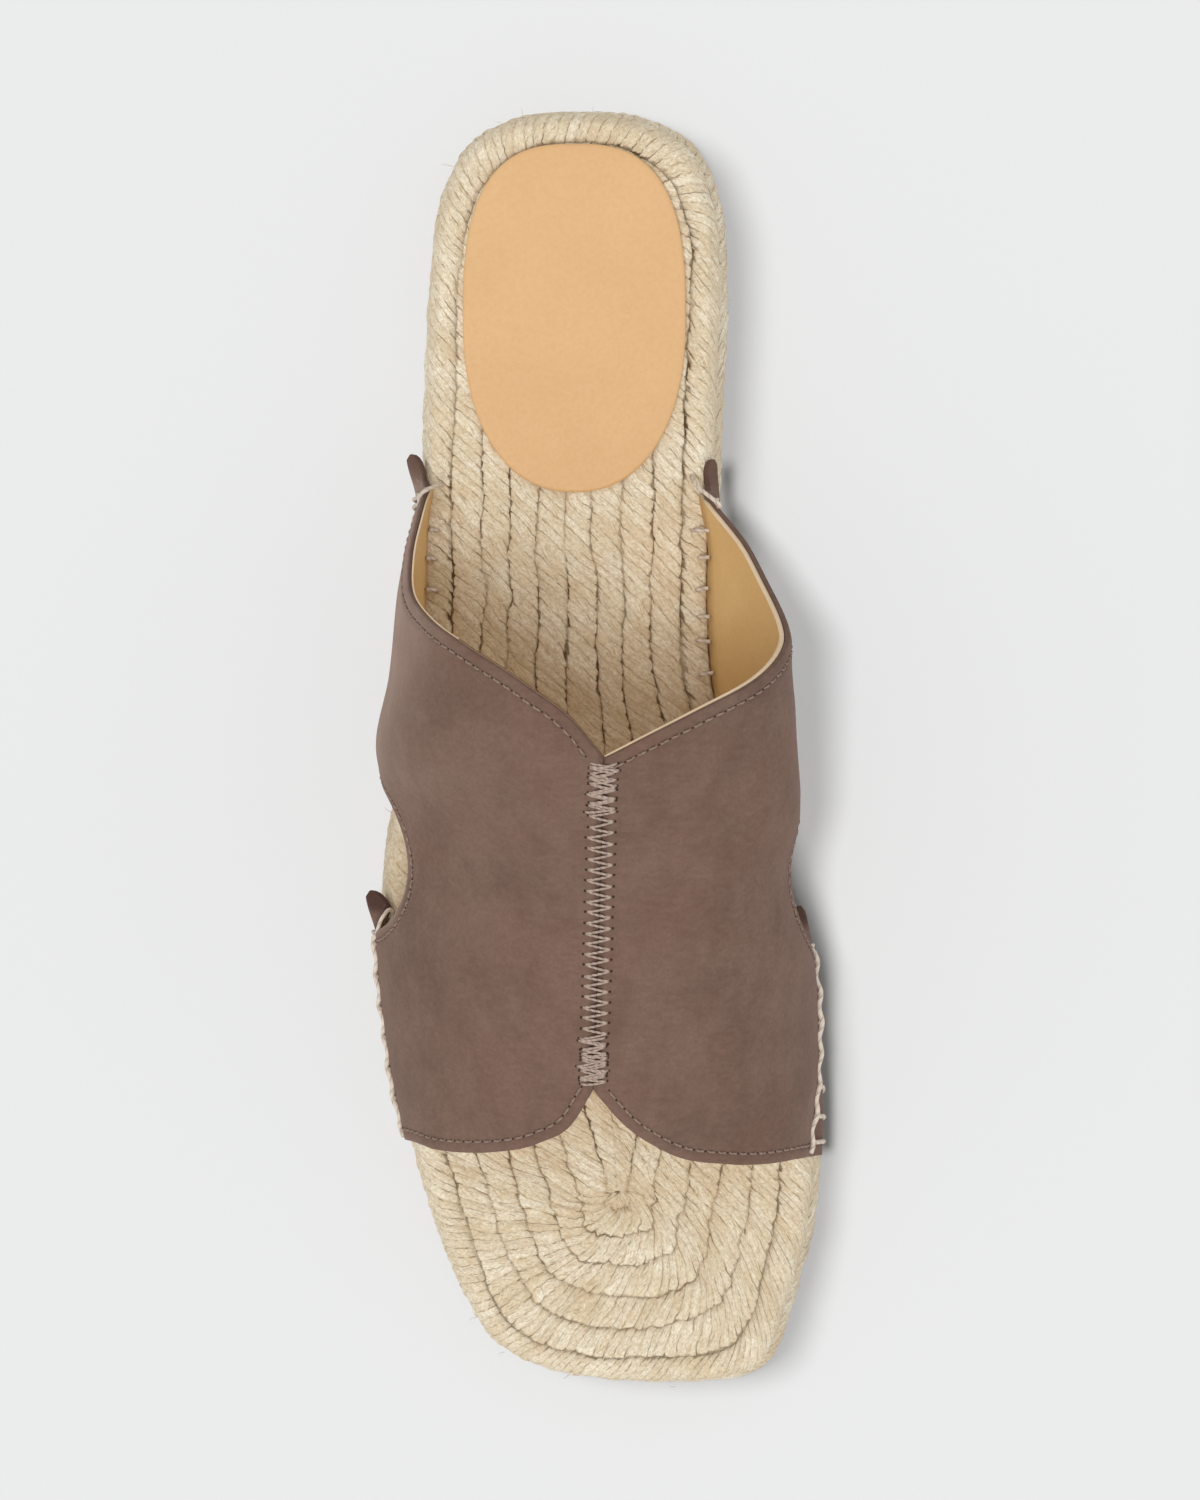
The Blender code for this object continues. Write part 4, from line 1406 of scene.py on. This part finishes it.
def shift(side, out, along, up):
    """A short way outward, towards the heel and up."""
    return np.array([side * out, along, up])


def hem_path(y, side):
    """Points down over the hem at station y, from the fold to under its lower edge, half sunk in it."""
    fold = upper_face(y, HEM_LINE, side)
    bend = (fold + hem_face(y, HEM_FOLD, side, 0.0)) / 2
    over = [fold + shift(side, 0.25, 0.0, 0.35), bend + shift(side, 0.3, 0.0, 0.3)]
    down = ((HEM_FOLD, 0.15), (4.2, 0.15), (5.6, 0.15), (6.4, -0.1), (7.0, -1.2))
    return np.array(over + [hem_face(y, drop, side, flare) for drop, flare in down])


def wrap_path(end, crest_y, side, spread, inner_y):
    """Points of a thread over the low end of a wall, from the hem outside to the footbed inside."""
    outer = end - spread
    fold = upper_face(outer + 0.35 * spread, 0.0, side)
    crest = upper_face(crest_y, CREST_LINE, side)
    inner = upper_face(0.6 * end + 0.4 * inner_y, 0.0, side)
    return np.array([hem_face(outer, 4.4, side, -0.2), hem_face(outer + 0.1 * spread, 3.0, side, 0.2),
                     fold + shift(side, 0.45, 0.0, 0.3), crest + shift(side, -0.4, 0.7, 0.9),
                     inner + shift(side, -2.7, 0.3, 0.7),
                     (inner[0] - side * 3.6, inner_y, sole_top(inner_y) - 0.4)])


def flap_loop(end, side, spread):
    """Points of a thread that holds a notch's flap: over its inner part and down to the footbed."""
    outer = end - spread
    rim = np.array([sole_edge(end, side), end, sole_top(end)])
    over = ((-0.2, -0.4, 2.6), (-1.2, 2.2, 3.6), (-2.4, 3.8, 2.6), (-3.4, 3.0, -0.3))
    return np.array([hem_face(outer, 4.6, side, -0.1), hem_face(outer + 0.6, 3.0, side, 0.4),
                     *(rim + shift(side, *way) for way in over)])


def thread(path, share, twist):
    """A tube of the blanket thread along a path of points, rounded at its corners."""
    length = run_length(path)[-1]
    smooth = curve_through(path, np.linspace(0.0, length, int(length / 0.5) + 2))
    return tubes(smooth[None], BLANKET_RADIUS * share, sides=8, twist=twist)


def build_blanket_stitch():
    """The hand stitch that holds hem to sole: a running thread, loops over the hem, wraps at the ends."""
    draw = np.random.default_rng(41)
    groups = []
    for notch in NOTCHES:
        side = notch.side
        front, back = (edge_y(0.0, side, end) for end in ("front", "back"))
        notch_front, notch_back = notch.y - notch.half_width, notch.y + notch.half_width
        for start, end in ((front + BLANKET_FRONT_GAP, notch_front - BLANKET_END_GAP),
                           (notch_back + BLANKET_NOTCH_GAP, back - BLANKET_END_GAP)):
            y = np.linspace(start, end, int((end - start) / BLANKET_SPACING))
            tug = np.cos(2 * np.pi * (y - start - BLANKET_START) / BLANKET_PITCH)
            slack = line_noise(strand_table, 3 + side, (y + 90.0) / SLACK_LENGTH) - 0.5
            run = upper_face(y, HEM_LINE, side)
            run[:, 0] += side * (BLANKET_TUG + BLANKET_TUG * tug + BLANKET_TUG * slack)
            run[:, 2] += RUN_LIFT[side] - BLANKET_TUG * tug
            radii = BLANKET_RADIUS * (1.0 + 0.2 * slack)
            groups.append(tubes(run[None], radii, sides=8, twist=BLANKET_TWIST))
            for loop_y in np.arange(start + BLANKET_START, end - BLANKET_END_GAP, BLANKET_PITCH):
                loop = hem_path(loop_y + draw.normal(0.0, 0.3), side)
                loop[:, 1] += np.linspace(0.0, LOOP_LEAN + draw.normal(0.0, 0.5), len(loop))
                groups.append(thread(loop, LOOP_THICKNESS, BLANKET_TWIST))
        crest_y = edge_y(CREST_LINE, side, "back")
        wraps = [wrap_path(back, crest_y + draw.normal(0.0, 0.2), side, spread, back + WRAP_BACK[side])
                 for spread in WRAP_SPREADS]
        wraps += [flap_loop(notch_front, side, spread) for spread in FLAP_SPREADS]
        groups += [thread(wrap, WRAP_THICKNESS, WRAP_TWIST) for wrap in wraps]
    new_piece("blanket_stitch", *joined(groups), [BLANKET_THREAD])


def build_inside_threads():
    """Ends of the blanket stitch where it comes up between lining and footbed."""
    draw = np.random.default_rng(51)
    paths = []
    for side in (LATERAL, MEDIAL):
        for y in np.arange(*INSIDE_STRETCH, INSIDE_PITCH):
            y = y + draw.normal(0.0, 0.3)
            x = sole_edge(y, side) - side * (INSIDE_START[side] + TIP_TUCK * soft_step(*TIP_STRETCH, y))
            rise, reach = 2.4 + draw.normal(0.0, 0.2), 1.9 + draw.normal(0.0, 0.3)
            lean = draw.normal(0.0, 0.35)
            foot = np.array([x, y, sole_top(y)])
            ways = ((INSIDE_LEAN[side] * rise, 0.0, rise), (-0.1 * reach, 0.3 * lean, 0.8 * rise),
                    (-0.6 * reach, 0.7 * lean, 0.5 * rise), (-reach, lean, -0.7))
            paths.append([foot + shift(side, *way) for way in ways])
    new_piece("inside_thread_ends", *tubes(paths, INSIDE_RADIUS, twist=2.0), [BLANKET_THREAD])


def build_sock():
    """The oval leather pad on the heel seat, with a rounded rim."""
    count = SOCK_POINTS
    rim = [(0.55, 0.0), (0.15, 0.15), (0.0, 0.4), (0.0, 0.68), (0.12, 0.88), (0.4, 0.98), (0.9, 1.0)]
    levels = rim + [(inset, 1.0) for inset in np.linspace(1.6, SOCK_HALF_WIDTH - 1.5, 22)]
    angle = 2 * np.pi * np.arange(count) / count
    power = np.where(np.sin(angle) > 0, SOCK_HEEL_POWER, SOCK_FRONT_POWER)
    x, y = (np.sign(wave) * np.abs(wave) ** (2 / power) for wave in (np.cos(angle), np.sin(angle)))
    rings = []
    for inset, share in levels:
        shrink = 1.0 - inset / SOCK_HALF_WIDTH
        plan_x = SOCK_X + SOCK_HALF_WIDTH * shrink * x
        plan_y = SOCK_Y + SOCK_HALF_LENGTH * shrink * y
        height = sole_top(plan_y) + SOCK_GAP + share * SOCK_THICKNESS
        rings.append(np.stack([plan_x, plan_y, height], axis=-1))
    k = np.arange(count // 2 - 1)
    cap = np.stack([k, k + 1, count - 2 - k, count - 1 - k], axis=1)
    wall = strip_quads(len(levels), count)[:, ::-1]
    quads = np.concatenate([wall, cap[:, ::-1], cap + (len(levels) - 1) * count])
    piece = new_piece("heel_pad", np.concatenate(rings), quads, None, [SOCK_LEATHER], "sock_leather")
    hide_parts("heel_sock")


# Floor, light and camera


def build_floor():
    mesh = bpy.data.meshes.new("floor")
    reach, level = FLOOR_REACH * MM, FLOOR_LEVEL * MM
    corners = ((-reach, -reach), (reach, -reach), (reach, reach), (-reach, reach))
    mesh.from_pydata([(x, y, level) for x, y in corners], [], [(0, 1, 2, 3)])
    mesh.materials.append(FLOOR)
    floor = bpy.data.objects.new("floor", mesh)
    bpy.context.scene.collection.objects.link(floor)
    return floor


def add_sun(name, strength, angle, towards):
    """Adds a sun and gives its light linking."""
    lamp = bpy.data.lights.new(name, "SUN")
    lamp.energy = strength
    lamp.angle = math.radians(angle)
    sun = bpy.data.objects.new(name, lamp)
    sun.rotation_euler = Vector(towards).to_track_quat("Z", "Y").to_euler()
    bpy.context.scene.collection.objects.link(sun)
    return sun.light_linking


def named_group(name, pieces):
    group = bpy.data.collections.new(name)
    for piece in pieces:
        group.objects.link(piece)
    return group


def build_light(floor):
    """An even sky, a soft key light, and lights on the floor alone for the narrow shadow beside the shoe."""
    world = bpy.data.worlds.new("soft_sky")
    world.use_nodes = True
    sky = world.node_tree.nodes["Background"].inputs
    sky["Color"].default_value = (1.0, 1.0, 1.0, 1.0)
    sky["Strength"].default_value = SKY
    bpy.context.scene.world = world
    shoe = [piece for piece in bpy.context.scene.objects if piece.type == "MESH" and piece != floor]
    add_sun("key", SUN, SUN_ANGLE, SUN_FROM).receiver_collection = named_group("shoe_only", shoe)
    floor_only = named_group("floor_only", [floor])
    for light in FLOOR_LIGHTS:
        casters = [bpy.data.objects[name] for name in light.casters]
        linking = add_sun(light.name, light.strength, light.angle, light.towards)
        linking.receiver_collection = floor_only
        linking.blocker_collection = named_group(light.name + "_casters", casters)


def build_camera():
    data = bpy.data.cameras.new("camera")
    eye, aim = Vector(EYE) * MM, Vector(AIM) * MM
    forward = (aim - eye).normalized()
    right = forward.cross(Vector((0.0, 1.0, 0.0))).normalized()
    turn = Matrix((right, right.cross(forward), -forward)).transposed()
    data.sensor_width = SENSOR
    data.lens = SENSOR * (aim - eye).length / (FRAME_HEIGHT * MM)
    camera = bpy.data.objects.new("camera", data)
    camera.matrix_world = Matrix.Translation(eye) @ turn.to_4x4()
    bpy.context.scene.collection.objects.link(camera)
    bpy.context.scene.camera = camera


coil_rays = sole_coil()
build_coil(coil_rays)
build_outer_row(coil_rays)
build_stray_fibres(coil_rays)
panel_pair = [make_panel(notch) for notch in NOTCHES]
panel_trees = [build_suede(panel) for panel in panel_pair]
for panel in panel_pair:
    build_lining(panel)
build_topstitch(panel_pair, panel_trees)
build_zigzag(panel_trees)
build_blanket_stitch()
build_inside_threads()
build_sock()
build_light(build_floor())
build_camera()
bpy.context.scene.view_settings.view_transform = "Standard"
